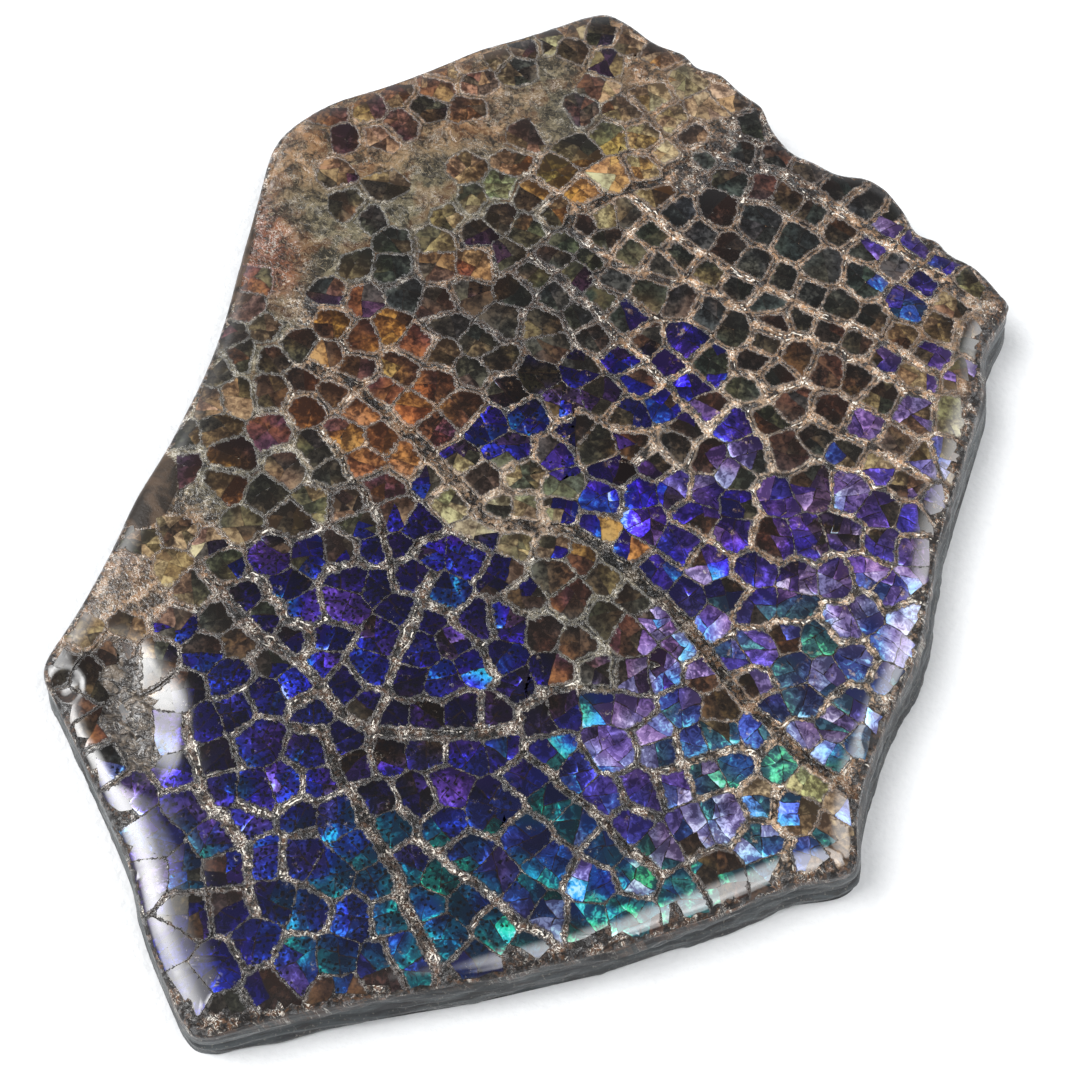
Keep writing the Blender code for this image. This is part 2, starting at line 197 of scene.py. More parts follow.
# Colour zones of the shell: middle and reach in mm, the parts of each finish met there ("open" where the
# crushed shell is one cloudy mass), the vein's mineral, how crushed the plates are, and how porous.
ZONES = {
    "far tip": (-4, 65, 6, {"umber": 3, "honey": 5, "plum": 1, "olive": 2, "open": 5}, "tan", 0.6, 0),
    "far olive": (-9, 56, 7, {"olive": 5, "slate": 2, "umber": 3, "open": 6}, "grey", 0.7, 0),
    "far honey": (5, 56, 7, {"honey": 6, "bone": 3, "amber": 2, "olive": 1, "open": 5}, "tan", 0.5, 0),
    "far amber": (1, 48, 5, {"amber": 4, "honey": 6, "bone": 5, "open": 2}, "tan", 0.3, 0),
    "amber knob": (-7, 43, 4, {"amber": 6, "russet": 2, "honey": 2}, "tan", 0, 0),
    "far left": (-22, 52, 9, {"honey": 7, "bone": 2, "olive": 3, "russet": 2, "open": 9}, "tan", 0.7, 0),
    "left shoulder top": (
        -36, 42, 7, {"russet": 4, "honey": 4, "umber": 1, "amber": 2, "open": 7}, "tan", 0.5, 0,
    ),
    "far right": (17, 50, 8, {"slate": 5, "umber": 4, "open": 1}, "brown", 0.3, 0),
    "olive field": (-33, 30, 7, {"olive": 6, "slate": 2, "honey": 1, "open": 8}, "grey", 0.7, 0),
    "olive middle": (
        -19, 38, 8, {"olive": 5, "umber": 2, "honey": 4, "russet": 1, "open": 8}, "grey", 0.7, 0,
    ),
    "amber middle": (-17, 28, 5, {"amber": 4, "russet": 4, "plum": 2, "honey": 2}, "tan", 0.2, 0),
    "rust side": (-42, 25, 5, {"russet": 7, "honey": 3, "umber": 1, "open": 5}, "rust", 0.5, 0),
    "dark diagonal": (-26, 24, 4, {"slate": 6, "olive": 3, "open": 3}, "dark", 0.5, 0),
    "russet slope": (-28, 15, 5, {"russet": 5, "plum": 2, "amber": 2, "umber": 1}, "tan", 0.1, 0),
    "left bay": (-42, 8, 7, {"olive": 4, "umber": 2, "russet": 2, "honey": 3, "open": 6}, "grey", 0.6, 0),
    "russet field": (-30, 4, 6, {"russet": 7, "amber": 3, "umber": 3, "plum": 1}, "tan", 0.2, 0),
    "purple field": (-20, 10, 5, {"amber": 5, "russet": 5, "plum": 3, "umber": 1}, "tan", 0, 0),
    "olive below russet": (
        -36, -4, 7, {"olive": 5, "slate": 4, "umber": 2, "russet": 1, "open": 4}, "grey", 0.4, 0,
    ),
    "slate field": (19, 33, 12, {"slate": 9, "umber": 4, "olive": 2}, "tan", 0, 0),
    "dark middle": (-9, 22, 9, {"umber": 5, "slate": 4, "olive": 4, "plum": 1}, "brown", 0.1, 0.4),
    "right crust": (45, 29, 6, {"honey": 4, "slate": 2, "umber": 4, "violet": 1, "open": 5}, "tan", 0.6, 0),
    "right violet specks": (39, 38, 5, {"cobalt": 3, "violet": 4, "slate": 3, "pearl": 2}, "tan", 0.4, 0),
    "brown bricks": (30, 20, 7, {"umber": 7, "slate": 3, "olive": 2}, "tan", 0.2, 0),
    "right tan": (
        41, 13, 6, {"violet": 2, "umber": 3, "honey": 4, "pearl": 3, "slate": 1, "open": 3}, "tan", 0.5, 0,
    ),
    "dark blue middle": (
        -2, 10, 7, {"indigo": 3, "midnight": 2, "electric": 3, "umber": 5, "plum": 2}, "tan", 0.1, 0.5,
    ),
    "blue edge plates": (11, 15, 5, {"indigo": 4, "electric": 3, "midnight": 3, "umber": 2}, "tan", 0, 0),
    "indigo bricks": (
        20, 9, 7, {"indigo": 4, "slate": 3, "umber": 4, "lilac": 1, "violet": 3}, "cream", 0, 0,
    ),
    "bright bar": (7, -2, 5, {"electric": 5, "cobalt": 1, "indigo": 3, "plum": 3}, "brown", 0, 0),
    "amber bar": (8, -7.5, 3, {"amber": 9, "honey": 3}, "dark", 0, 0),
    "chips": (-4, -4, 5, {"slate": 4, "bone": 3, "honey": 3, "olive": 2, "open": 3}, "cream", 1, 0),
    "right indigo": (
        22, -5, 7, {"indigo": 4, "electric": 2, "umber": 6, "violet": 4, "lilac": 1}, "tan", 0, 0,
    ),
    "right violet": (36, 1, 7, {"violet": 5, "lilac": 3, "plum": 2, "umber": 4, "pearl": 2}, "tan", 0.2, 0),
    "right lilac": (
        37, -14, 7, {"cobalt": 1, "lilac": 3, "pearl": 8, "teal": 4, "green": 2}, "cream", 0.2, 0,
    ),
    "violet middle": (26, -18, 7, {"violet": 4, "umber": 3, "lilac": 3, "pearl": 4, "teal": 1}, "tan", 0, 0),
    "umber hollow": (
        4, -18, 6, {"umber": 7, "russet": 2, "slate": 3, "olive": 1, "honey": 1}, "grey", 0.2, 0,
    ),
    "cream hollow": (
        14, -19, 4, {"lilac": 3, "violet": 5, "plum": 2, "honey": 1, "umber": 3}, "brown", 0.8, 0,
    ),
    "lilac plates": (
        14, -34, 6, {"violet": 4, "lilac": 4, "azure": 3, "electric": 4, "pearl": 6}, "brown", 0, 0,
    ),
    "bright teal": (3, -32, 5, {"indigo": 8, "teal": 1, "electric": 2, "plum": 4}, "brown", 0, 0),
    "near right green": (26, -36, 6, {"teal": 4, "green": 6, "pearl": 9, "bone": 1}, "cream", 0.1, 0),
    "near right corner": (
        34, -35, 5, {"pearl": 3, "bone": 2, "honey": 3, "teal": 2, "green": 4}, "tan", 0.3, 0,
    ),
    "near shoulder": (
        22, -46, 6, {"pearl": 3, "teal": 3, "green": 5, "umber": 3, "violet": 1}, "brown", 0.3, 0,
    ),
    "near green": (11, -51, 6, {"green": 7, "teal": 4, "pearl": 1, "azure": 1}, "brown", 0.1, 0),
    "near violet": (2, -45, 6, {"teal": 7, "cobalt": 2, "azure": 1, "indigo": 4}, "brown", 0.1, 0),
    "near teal": (-5, -51, 6, {"teal": 8, "azure": 1, "cobalt": 3}, "brown", 0, 0.6),
    "middle blue": (-6, -39, 6, {"cobalt": 3, "indigo": 6, "midnight": 8}, "brown", 0, 0.4),
    "middle violet": (-14, -36, 5, {"plum": 4, "indigo": 4, "midnight": 4, "umber": 2}, "brown", 0.1, 0.5),
    "centre indigo": (-9, -18, 6, {"indigo": 6, "electric": 3, "midnight": 3, "plum": 2}, "brown", 0, 0.9),
    "centre electric": (
        -3, -25, 5, {"indigo": 5, "electric": 3, "midnight": 3, "plum": 3}, "brown", 0.1, 0.4,
    ),
    "left electric": (-23, -20, 6, {"electric": 4, "indigo": 6, "midnight": 5}, "brown", 0, 1),
    "left cobalt": (
        -19, -28, 5, {"cobalt": 2, "electric": 3, "indigo": 5, "midnight": 4, "plum": 1}, "brown", 0, 1,
    ),
    "honey chips": (-28, -12, 5, {"honey": 3, "olive": 3, "umber": 5, "slate": 2}, "brown", 1, 0),
    "dusky blue": (-36, -24, 6, {"umber": 4, "slate": 3, "indigo": 5, "midnight": 3}, "brown", 0.2, 1),
    "left crushed": (-43, -21, 6, {"umber": 2, "olive": 3, "honey": 5, "bone": 1, "open": 5}, "tan", 0.8, 0),
    "big blue plates": (
        -31, -38, 7, {"cobalt": 6, "electric": 3, "indigo": 6, "midnight": 2}, "brown", 0, 1.2,
    ),
    "pink chips": (-26, -44, 3, {"cobalt": 5, "indigo": 2, "electric": 2}, "brown", 0, 1),
    "pit crust": (-43, -38, 4, {"honey": 2, "umber": 3, "slate": 4, "russet": 1, "open": 1}, "dark", 1, 0),
    "left shoulder": (-38, -52, 5, {"violet": 3, "cobalt": 4, "pearl": 2, "indigo": 3}, "brown", 0.2, 0.5),
    "near left teal": (-20, -54, 6, {"teal": 4, "azure": 2, "cobalt": 8}, "brown", 0, 1),
    "near azure": (-13, -57, 5, {"teal": 9, "cobalt": 3, "indigo": 2}, "brown", 0.1, 0.5),
    "near left corner": (
        -29, -62, 6, {"indigo": 5, "midnight": 3, "umber": 5, "cobalt": 1}, "brown", 0.4, 0.2,
    ),
    "near left tip": (-25, -69, 4, {"umber": 5, "slate": 3, "indigo": 3}, "dark", 0.6, 0),
    "near left edge": (-10, -63, 6, {"cobalt": 4, "teal": 5, "umber": 3, "indigo": 2}, "brown", 0.4, 0),
}

# Where a zone keeps how crushed and how porous its plates are.
CRUSHED, POROUS = 5, 6

# Bare shale where no plate is left: middle, and half lengths along X and Y.
BARE_PATCHES = ((-47.5, -11.0, 3.4, 5.2), (-44.4, 22.0, 1.0, 8.0), (-43.0, -38.5, 2.6, 3.6))

# Single plates that stand out: place, finish and how far its flash shows.
ACCENTS = (
    (-1.5, -5.8, "bone", 0.9),
    (7.0, -6.8, "amber", 0.8),
    (9.5, -8.6, "amber", 0.7),
    (8.0, -49.5, "green", 1.0),
    (3.0, -56.5, "green", 0.9),
    (12.0, -53.5, "green", 0.8),
    (31.0, -42.5, "azure", 1.0),
    (31.0, -37.0, "azure", 0.9),
    (4.5, -32.0, "azure", 0.7),
    (7.5, -30.0, "azure", 0.7),
    (12.5, 15.5, "electric", 0.9),
    (6.0, -1.0, "electric", 1.0),
    (9.0, -4.5, "electric", 1.0),
    (20.5, -9.5, "azure", 0.8),
    (23.0, -35.0, "green", 0.9),
    (26.5, -36.0, "teal", 0.9),
    (-14.5, -56.5, "azure", 0.6),
    (-9.0, -60.5, "azure", 0.6),
    (-5.5, -27.5, "azure", 0.9),
    (-25.5, -44.5, "lilac", 0.9),
    (-8.5, -21.5, "lilac", 0.7),
    (-0.5, 37.5, "bone", 0.5),
)

# Soft windows of the room: turn from +X and rise in degrees, the angle within which each is whole and that
# where it has faded, and its radiance.
WINDOWS = (
    (165, 44, 3, 24, 6.8),
    (192, 48, 3, 26, 7.2),
    (178, 62, 2, 22, 2.6),
    (30, 48, 2, 18, 5.5),
    (-12, 70, 3, 15, 7.0),
    (-36, 60, 2, 12, 5.0),
)
# The photo's camera: its angles in degrees, and its place in metres.
PHOTO_HEIGHT_ANGLE = 64.0
PHOTO_ROLL = 10.0
PHOTO_FIELD = 32.0
CAMERA_PLACE = (-0.0014, -0.1057, 0.2063)

# The top sheet's squares along a side, how far apart its border's points are, and its thickness. Then the
# lines round the wall, and those round the underside as shares of the foot.
SHEET_SIDE = 300
BORDER_SPACING = 0.35
SHEET_THICKNESS = 0.9
WALL_LINES = 30
SOLE_RINGS = (0.985, 0.8, 0.5, 0.2)
# The cracks' straight plan is bent by noise: how far, over what length, and its seed.
BENDS = ((0.42, 3.4, 31), (0.14, 1.1, 33), (0.05, 0.42, 35))

# Plates: the spacing of clusters and the share of rib plates that stand alone, the neighbours that bound a
# plate, how much a vein's width wavers, half a crack's width (at least, wider at most, and wider where
# crushed), how near a main seam a side is its edge and at which share of its width, how far the cement stays
# off a crack, how sharp the corners are, and how far plates and pieces overlap.
CLUSTER_SPACING = 8.5
ALONE_SHARE = 0.6
NEIGHBOURS = 14
VEIN_WAVER = 0.6
CRACK_WIDTHS = (0.02, 0.06, 0.05)
SEAM_REACH = 0.9
SEAM_SHARE = 0.9
CRACK_SHELTER = 0.22
CORNER_SHARPNESS = 9.0
PLATE_OVERLAP = 0.02
CUT_OVERLAP = 0.015

# Pieces of a plate: the square that its random places fill (half side, places, area), a piece's area in mm2,
# less where crushed and more on slate and russet, and how freely a cut turns and shifts.
SAMPLED_REACH = 3.6
SAMPLES = 260
SAMPLED_AREA = 51.8
PIECE_AREAS = (2.4, 6.5)
CRUSHED_LOSS = 0.62
WHOLE_GAIN = 0.12
MOST_PIECES = 14
MOST_CUTS = 7
FEWEST_TO_CUT = 12
CUT_TURN = 0.28
CUT_SHIFT = 0.22
# The draw below which a piece has a finish of its own, and that below which it follows its plate. Above, it
# follows the cluster. Then how much less stained shell's colour drifts, and how far a striking plate reaches.
SHARED_DRAWS = (0.08, 0.5)
STAINED_DRIFT = 0.6
ACCENT_REACH = 1.3
# Pieces that are left out: those this deep in a pit, and splinters with smaller radii in mm.
PIT_EDGE = 0.85
LEAST_RADIUS = 0.1
LEAST_MEAN_RADIUS = 0.3

# A piece's mesh: fine angles to choose its corners from, rings, how sharp the corners of nacre and of stained
# shell are, its depth, how far its foot is drawn in, and how a plate is domed and a piece leans.
FINE_ANGLES = 96
PIECE_CORNERS = 20
PIECE_RINGS = (0.55, 1.0)
CORNER_POWERS = (18.0, 12.0)
PIECE_DEPTH = 0.5
FOOT_DRAWN_IN = 0.08
DOME_REACH = 2.2
DOME_LEAN = 0.035
OWN_LEAN = 0.012

# Parts of a piece's map for baking, each a corner and a size: what faces up, and flanks and undersides.
TOP_CHART = ((0.01, 0.01), (0.75, 0.98))
UNDER_CHART = ((0.78, 0.01), (0.2, 0.3))
SOLE_CHART = ((0.02, 0.27), (0.52, 0.7))
WALL_STRIPS = 3

# Settings that nodes share.
FLAT_NOISE = {"noise_dimensions": "2D"}
FLAT_CELLS = {"voronoi_dimensions": "2D"}
TIMES = {"data_type": "RGBA", "blend_type": "MULTIPLY"}

Plates = namedtuple("Plates", "seeds clusters normal offset shelter")


def along(points, step):
    """Points every step along an open line of straight runs, with the line's normals there."""
    points = np.asarray(points, float)
    run = np.hypot(*np.diff(points, axis=0).T)
    length = np.concatenate([[0.0], np.cumsum(run)])
    count = max(2, int(round(length[-1] / step)) + 1)
    at = np.linspace(0.0, length[-1], count)
    line = np.stack([np.interp(at, length, points[:, 0]), np.interp(at, length, points[:, 1])], axis=1)
    way = np.gradient(line, axis=0)
    way /= np.linalg.norm(way, axis=1, keepdims=True)
    return line, np.stack([-way[:, 1], way[:, 0]], axis=1)


def softened(values, passes):
    """A closed line's values with each point drawn towards its neighbours, passes times over."""
    for _ in range(passes):
        values = 0.5 * values + 0.25 * (np.roll(values, 1, axis=0) + np.roll(values, -1, axis=0))
    return values


def outline():
    """The plan's points and outward normals, and the rim's height, shoulder, lean, step and crust at each."""
    stretches = list(STRETCHES.values())
    points, traits = [], []
    for index, (corners, rim, shoulder, lean, step, spacing) in enumerate(stretches):
        closing = stretches[(index + 1) % len(stretches)][0][0]
        line, _ = along(corners + [closing], spacing)
        points.append(line[:-1])
        traits.append(np.tile([rim, shoulder, lean, step, CRUST_WIDTHS[index]], (len(line) - 1, 1)))
    points = softened(np.concatenate(points), 1)
    traits = softened(np.concatenate(traits), 6)
    way = np.roll(points, -1, axis=0) - np.roll(points, 1, axis=0)
    normals = np.stack([-way[:, 1], way[:, 0]], axis=1)
    normals /= np.linalg.norm(normals, axis=1, keepdims=True)
    middle = (points.min(axis=0) + points.max(axis=0)) / 2
    return points - middle, softened(normals, 2), traits


def wall_ring(loop, share, inset):
    """One line round the wall: the outline drawn in by its lean and by the layer's own step."""
    points, normals, traits = loop
    rim, _, lean, step, _ = traits.T
    turn = np.arange(len(points)) * (2 * math.pi / len(points))
    wander = 0.18 * np.sin(9 * turn + 7 * share) + 0.14 * np.sin(23 * turn + 19 * share)
    drawn_in = lean * share + step * (inset + wander * (0.0 < share < 1.0))
    return np.column_stack([points - normals * drawn_in[:, None], rim * share])


def in_chunks(work, places, size=6000):
    """The work done on the places a few thousand at a time, which keeps its tables small."""
    parts = [work(places[start:start + size]) for start in range(0, len(places), size)]
    if isinstance(parts[0], tuple):
        return tuple(np.concatenate(column) for column in zip(*parts))
    return np.concatenate(parts)


def line_distance(where, start, end):
    """How far each place is from the nearest straight run from start to end, and which run that is."""
    run = end - start

    def work(places):
        reach = places[:, None] - start
        share = np.clip((reach * run).sum(-1) / (run * run).sum(-1), 0.0, 1.0)
        gap = np.linalg.norm(reach - share[..., None] * run, axis=-1)
        nearest = gap.argmin(axis=1)
        return gap[np.arange(len(places)), nearest], nearest

    return in_chunks(work, where)


def inside(where, loop):
    """Whether each place lies in the loop, by counting the loop's crossings to its right."""
    start, end = loop, np.roll(loop, -1, axis=0)
    x, y = where[:, None, 0], where[:, None, 1]
    spans = (start[:, 1] > y) != (end[:, 1] > y)
    rise = np.where(end[:, 1] == start[:, 1], 1.0, end[:, 1] - start[:, 1])
    crossing = start[:, 0] + (y - start[:, 1]) / rise * (end[:, 0] - start[:, 0])
    return (spans & (x < crossing)).sum(axis=1) % 2 == 1


def nearest_seeds(where, seeds):
    """Distance from each place to the edge of its plate, and the plate's number."""

    def work(places):
        square = ((places[:, None] - seeds) ** 2).sum(-1)
        pair = np.argpartition(square, 1, axis=1)[:, :2]
        near = np.take_along_axis(square, pair, axis=1)
        order = np.argsort(near, axis=1)
        pair = np.take_along_axis(pair, order, axis=1)
        near = np.take_along_axis(near, order, axis=1)
        apart = np.linalg.norm(seeds[pair[:, 0]] - seeds[pair[:, 1]], axis=1)
        return (near[:, 1] - near[:, 0]) / (2 * apart), pair[:, 0]

    return in_chunks(work, where)


def plate_seeds(loop):
    """Middles of the plates: mirrored pairs along the seams, then darts at a local spacing, evened out."""
    rng = np.random.default_rng(SEED)
    seeds = []
    for line, _, _ in SEAMS.values():
        places, normals = along(line, PLATE_SPACING)
        sides = PLATE_SPACING * rng.uniform(*PAIR_SHARES, len(places))[:, None] * normals
        for place in np.concatenate([places + sides, places - sides]):
            gaps = np.linalg.norm(np.array(seeds or [(math.inf, 0)]) - place, axis=1)
            if gaps.min() > CLOSEST_PAIR * PLATE_SPACING:
                seeds.append(place)
    fixed = len(seeds)
    darts = rng.uniform(loop.min(axis=0), loop.max(axis=0), (DARTS, 2))
    sizes = rng.uniform(*DART_SHARES, len(darts))
    for place, size in zip(darts, sizes):
        ribbed = place[0] > 0 and place[1] > 5
        spacing = size * (RIB_PLATE_SPACING if ribbed else PLATE_SPACING)
        if np.linalg.norm(np.array(seeds) - place, axis=1).min() > spacing:
            seeds.append(place)
    seeds = np.array(seeds)
    keep = inside(seeds, loop)
    fixed = int(keep[:fixed].sum())
    seeds = seeds[keep]
    corners = zip(loop.min(axis=0), loop.max(axis=0))
    x, y = np.meshgrid(*(np.arange(low, high, EVENING_STEP) for low, high in corners))
    cover = np.stack([x.ravel(), y.ravel()], axis=1)
    cover = cover[inside(cover, loop)]
    for _ in range(EVENING_ROUNDS):
        owner = nearest_seeds(cover, seeds)[1]
        count = np.maximum(np.bincount(owner, minlength=len(seeds)), 1)
        middles = np.stack([np.bincount(owner, cover[:, k], len(seeds)) / count for k in (0, 1)], axis=1)
        seeds[fixed:] = 0.5 * seeds[fixed:] + 0.5 * middles[fixed:]
    return seeds


def smooth_step(share):
    """From 0 to 1 along 3 s^2 - 2 s^3, held at both ends."""
    share = np.clip(share, 0.0, 1.0)
    return share * share * (3 - 2 * share)


def value_noise(where, cell, seed):
    """Smooth noise from -1 to 1: a random number at each knot of a square net, blended across its cells."""
    table = np.random.default_rng(seed).uniform(-1.0, 1.0, (257, 257))
    at = where / cell
    knot = np.floor(at).astype(int)
    across = smooth_step(at - knot)
    column, row = (knot % 256).T
    low = table[row, column] * (1 - across[:, 0]) + table[row, column + 1] * across[:, 0]
    high = table[row + 1, column] * (1 - across[:, 0]) + table[row + 1, column + 1] * across[:, 0]
    return low * (1 - across[:, 1]) + high * across[:, 1]


def grain(where, cell, octaves, seed):
    """Value noise summed over octaves, each half as wide and 0.6 times as strong as the one before."""
    total = np.zeros(len(where))
    for octave in range(octaves):
        total += 0.6**octave * value_noise(where, cell / 2**octave, seed + octave)
    return total


def linear(code):
    """An sRGB hex colour as linear red, green and blue."""
    values = np.array([int(code[at:at + 2], 16) / 255 for at in (1, 3, 5)])
    return np.where(values <= 0.04045, values / 12.92, ((values + 0.055) / 1.055) ** 2.4)


LOOP = outline()
RIM = wall_ring(LOOP, *LAYERS[-1])[:, :2]
RIM_TRAITS = LOOP[2]


def level(where):
    """The slab's top with no plates, and how far the rim is: gently rolling ground that rounds down to the
    rim by a power of 2.4, with hollows."""
    gap, run = line_distance(where, RIM, np.roll(RIM, -1, axis=0))
    rim, shoulder = RIM_TRAITS[run, 0], RIM_TRAITS[run, 1]
    x, y = where.T
    (first, x_wave, y_wave), (second, wave) = ROLLING
    rolling = first * np.sin(x / x_wave + 0.5) * np.cos(y / y_wave - 0.4) + second * np.sin((x - y) / wave)
    rise = np.sqrt(1 - (1 - np.clip(gap / shoulder, 0.0, 1.0)) ** 2.4)
    height = rim + (TOP_HEIGHT + rolling - rim) * rise
    for middle_x, middle_y, radius, depth in HOLLOWS:
        height -= depth * np.exp(-(((x - middle_x) ** 2 + (y - middle_y) ** 2) / radius**2) ** 1.5)
    return height, gap


def slopes(where, height, step=0.15):
    """How the slab's level rises along X and Y at each place, from its heights a small step away."""
    shifts = ((step, 0.0), (0.0, step))
    return np.stack([(level(where + shift)[0] - height) / step for shift in shifts], axis=-1)


def seams_near(where):
    """Distance to the nearest main seam, that seam's half width and the rise of its fill."""
    starts = np.concatenate([np.asarray(line, float)[:-1] for line, _, _ in SEAMS.values()])
    ends = np.concatenate([np.asarray(line, float)[1:] for line, _, _ in SEAMS.values()])
    widths = np.concatenate([[width] * (len(line) - 1) for line, width, _ in SEAMS.values()])
    rises = np.concatenate([[rise] * (len(line) - 1) for line, _, rise in SEAMS.values()])
    gap, run = line_distance(where, starts, ends)
    return gap, widths[run], rises[run]


def zone_weights(where):
    """How much each colour zone counts at each place: a bell round its middle, as shares that add up to 1."""
    spots = np.array([zone[:3] for zone in ZONES.values()], float)
    square = ((where[:, None] - spots[:, :2]) ** 2).sum(-1)
    weight = np.exp(-square / (spots[:, 2] * 0.8) ** 2) + 1e-9 / (1 + square)
    return weight / weight.sum(axis=1, keepdims=True)


def zone_column(index):
    """One of the numbers that each zone keeps."""
    return np.array([zone[index] for zone in ZONES.values()], float)


def zone_tones():
    """The colour of each zone's mineral."""
    return np.array([linear(VEINS[zone[4]][0]) for zone in ZONES.values()])


def zone_parts(names):
    """How many parts of each zone's plates have each of these finishes."""
    return np.array([[zone[3].get(name, 0) for name in names] for zone in ZONES.values()], float)


def zone_shares(names):
    """The shares of each zone's plates that have these finishes."""
    return zone_parts(names) / zone_parts([*FINISH_NAMES, "open"]).sum(axis=1, keepdims=True)


def bell(where, x, y, reach):
    """A bell round a point: one at its middle, and 1/e at its reach."""
    return np.exp(-((where[:, 0] - x) ** 2 + (where[:, 1] - y) ** 2) / reach**2)


def pitted(where):
    """How far each place lies in the pits, from 0 to 1."""
    return np.clip(sum(bell(where, x, y, radius) for x, y, radius, _ in HOLLOWS), 0, 1)


def crust_gain(where):
    """How many mm wider the rim's crust is near each place."""
    return sum(gain * bell(where, x, y, reach) for x, y, reach, gain in WIDE_CRUST)


def bare(where):
    """Whether a place lies on the bare shale."""
    found = np.zeros(len(where), bool)
    for x, y, half_x, half_y in BARE_PATCHES:
        found |= ((where[:, 0] - x) / half_x) ** 2 + ((where[:, 1] - y) / half_y) ** 2 < 1
    return found


def on_chart(plan, chart):
    """Places on a piece's map for baking: the slab's plan from above, stretched over a part of the map."""
    corner, size = chart
    return corner + (np.asarray(plan) - RIM.min(axis=0) + 1.0) / (np.ptp(RIM, axis=0) + 2.0) * size


def mesh_object(name, vertices, faces, material, bake_map, normals=None, **attributes):
    """A smooth mesh, from millimetres, with a map for baking, named values or colours on its points, and
    normals where given."""
    mesh = bpy.data.meshes.new(name)
    faces = [np.asarray(block) for block in faces]
    sizes = np.concatenate([np.full(len(block), block.shape[1]) for block in faces])
    corners = np.concatenate([block.ravel() for block in faces])
    mesh.vertices.add(len(vertices))
    mesh.loops.add(len(corners))
    mesh.polygons.add(len(sizes))
    points = np.minimum(np.asarray(vertices), (math.inf, math.inf, HIGHEST)) * (WITHIN, WITHIN, 1.0)
    mesh.vertices.foreach_set("co", (points * MM).astype(np.float32).ravel())
    mesh.loops.foreach_set("vertex_index", corners.astype(np.int32))
    mesh.polygons.foreach_set("loop_start", np.concatenate([[0], np.cumsum(sizes)[:-1]]).astype(np.int32))
    places = np.concatenate([block.reshape(-1, 2) for block in bake_map])
    mesh.uv_layers.new(name="OFBake").data.foreach_set("uv", places.astype(np.float32).ravel())
    mesh.update(calc_edges=True)
    mesh.validate()
    mesh.shade_smooth()
    if normals is not None:
        mesh.normals_split_custom_set_from_vertices(normals)
    for key, values in attributes.items():
        values = np.asarray(values, np.float32)
        if values.ndim == 1:
            mesh.attributes.new(key, "FLOAT", "POINT").data.foreach_set("value", values)
        else:
            values = np.column_stack([values, np.ones(len(values), np.float32)])
            mesh.attributes.new(key, "FLOAT_COLOR", "POINT").data.foreach_set("color", values.ravel())
    mesh.materials.append(material)
    obj = bpy.data.objects.new(name, mesh)
    bpy.context.scene.collection.objects.link(obj)
    return obj


def ring_faces(first, second):
    """Four-sided faces between two closed rings of as many points, given as point numbers."""
    return np.column_stack([first, second, np.roll(second, -1), np.roll(first, -1)])


def fan(ring, middle):
    """Triangles from a closed ring to a middle point."""
    return np.column_stack([ring, np.roll(ring, -1), np.full(len(ring), middle)])


def square_to_disc(square):
    """A square's places moved onto a disc, as radius and angle: concentric squares become circles."""
    u, v = square.T
    wide = np.abs(u) > np.abs(v)
    safe_u = np.where(u == 0, 1.0, u)
    safe_v = np.where(v == 0, 1.0, v)
    radius = np.where(wide, u, v)
    angle = np.where(wide, math.pi / 4 * v / safe_u, math.pi / 2 - math.pi / 4 * u / safe_v)
    return np.abs(radius), np.where(radius < 0, angle + math.pi, angle)


def on_loop(values, shares):
    """A closed line's values at shares of its points, along a smooth curve through them."""
    count = len(values)
    knot = np.floor(shares).astype(int)
    t = (shares - knot)[:, None]
    before, here, after, beyond = (values[(knot + shift) % count] for shift in (-1, 0, 1, 2))
    return 0.5 * (
        2 * here + (after - before) * t + (2 * before - 5 * here + 4 * after - beyond) * t**2
        + (3 * here - before - 3 * after + beyond) * t**3
    )


def share_at(angle):
    """Where a ray from the middle at this angle meets the rim, as a share of the rim's points."""
    fine = np.linspace(0, len(RIM), 6000, endpoint=False)
    x, y = on_loop(RIM, fine).T
    seen = np.unwrap(np.arctan2(y, x))
    return np.interp((seen[0] - angle) % (2 * math.pi), seen[0] - seen, fine)


def sheet_border():
    """Numbers of the top sheet's border points, counterclockwise from its low corner."""
    numbers = np.arange((SHEET_SIDE + 1) ** 2).reshape(SHEET_SIDE + 1, SHEET_SIDE + 1)
    return np.concatenate([numbers[0, :-1], numbers[:-1, -1], numbers[-1, :0:-1], numbers[:0:-1, 0]])


def sheet_plan():
    """The top sheet's places: a square net drawn out to the slab's rim, ray by ray."""
    side = np.linspace(-1, 1, SHEET_SIDE + 1)
    u, v = np.meshgrid(side, side)
    radius, angle = square_to_disc(np.column_stack([u.ravel(), v.ravel()]))
    return radius[:, None] * on_loop(RIM, share_at(angle))


def bend(where, gap):
    """How far the cracks' straight plan is bent at each place: noise in three sizes, and none at the rim."""
    shift = sum(
        size * np.column_stack([value_noise(where, cell, seed), value_noise(where, cell, seed + 1)])
        for size, cell, seed in BENDS
    )
    return shift * smooth_step((gap - 0.3) / 2.0)[:, None]


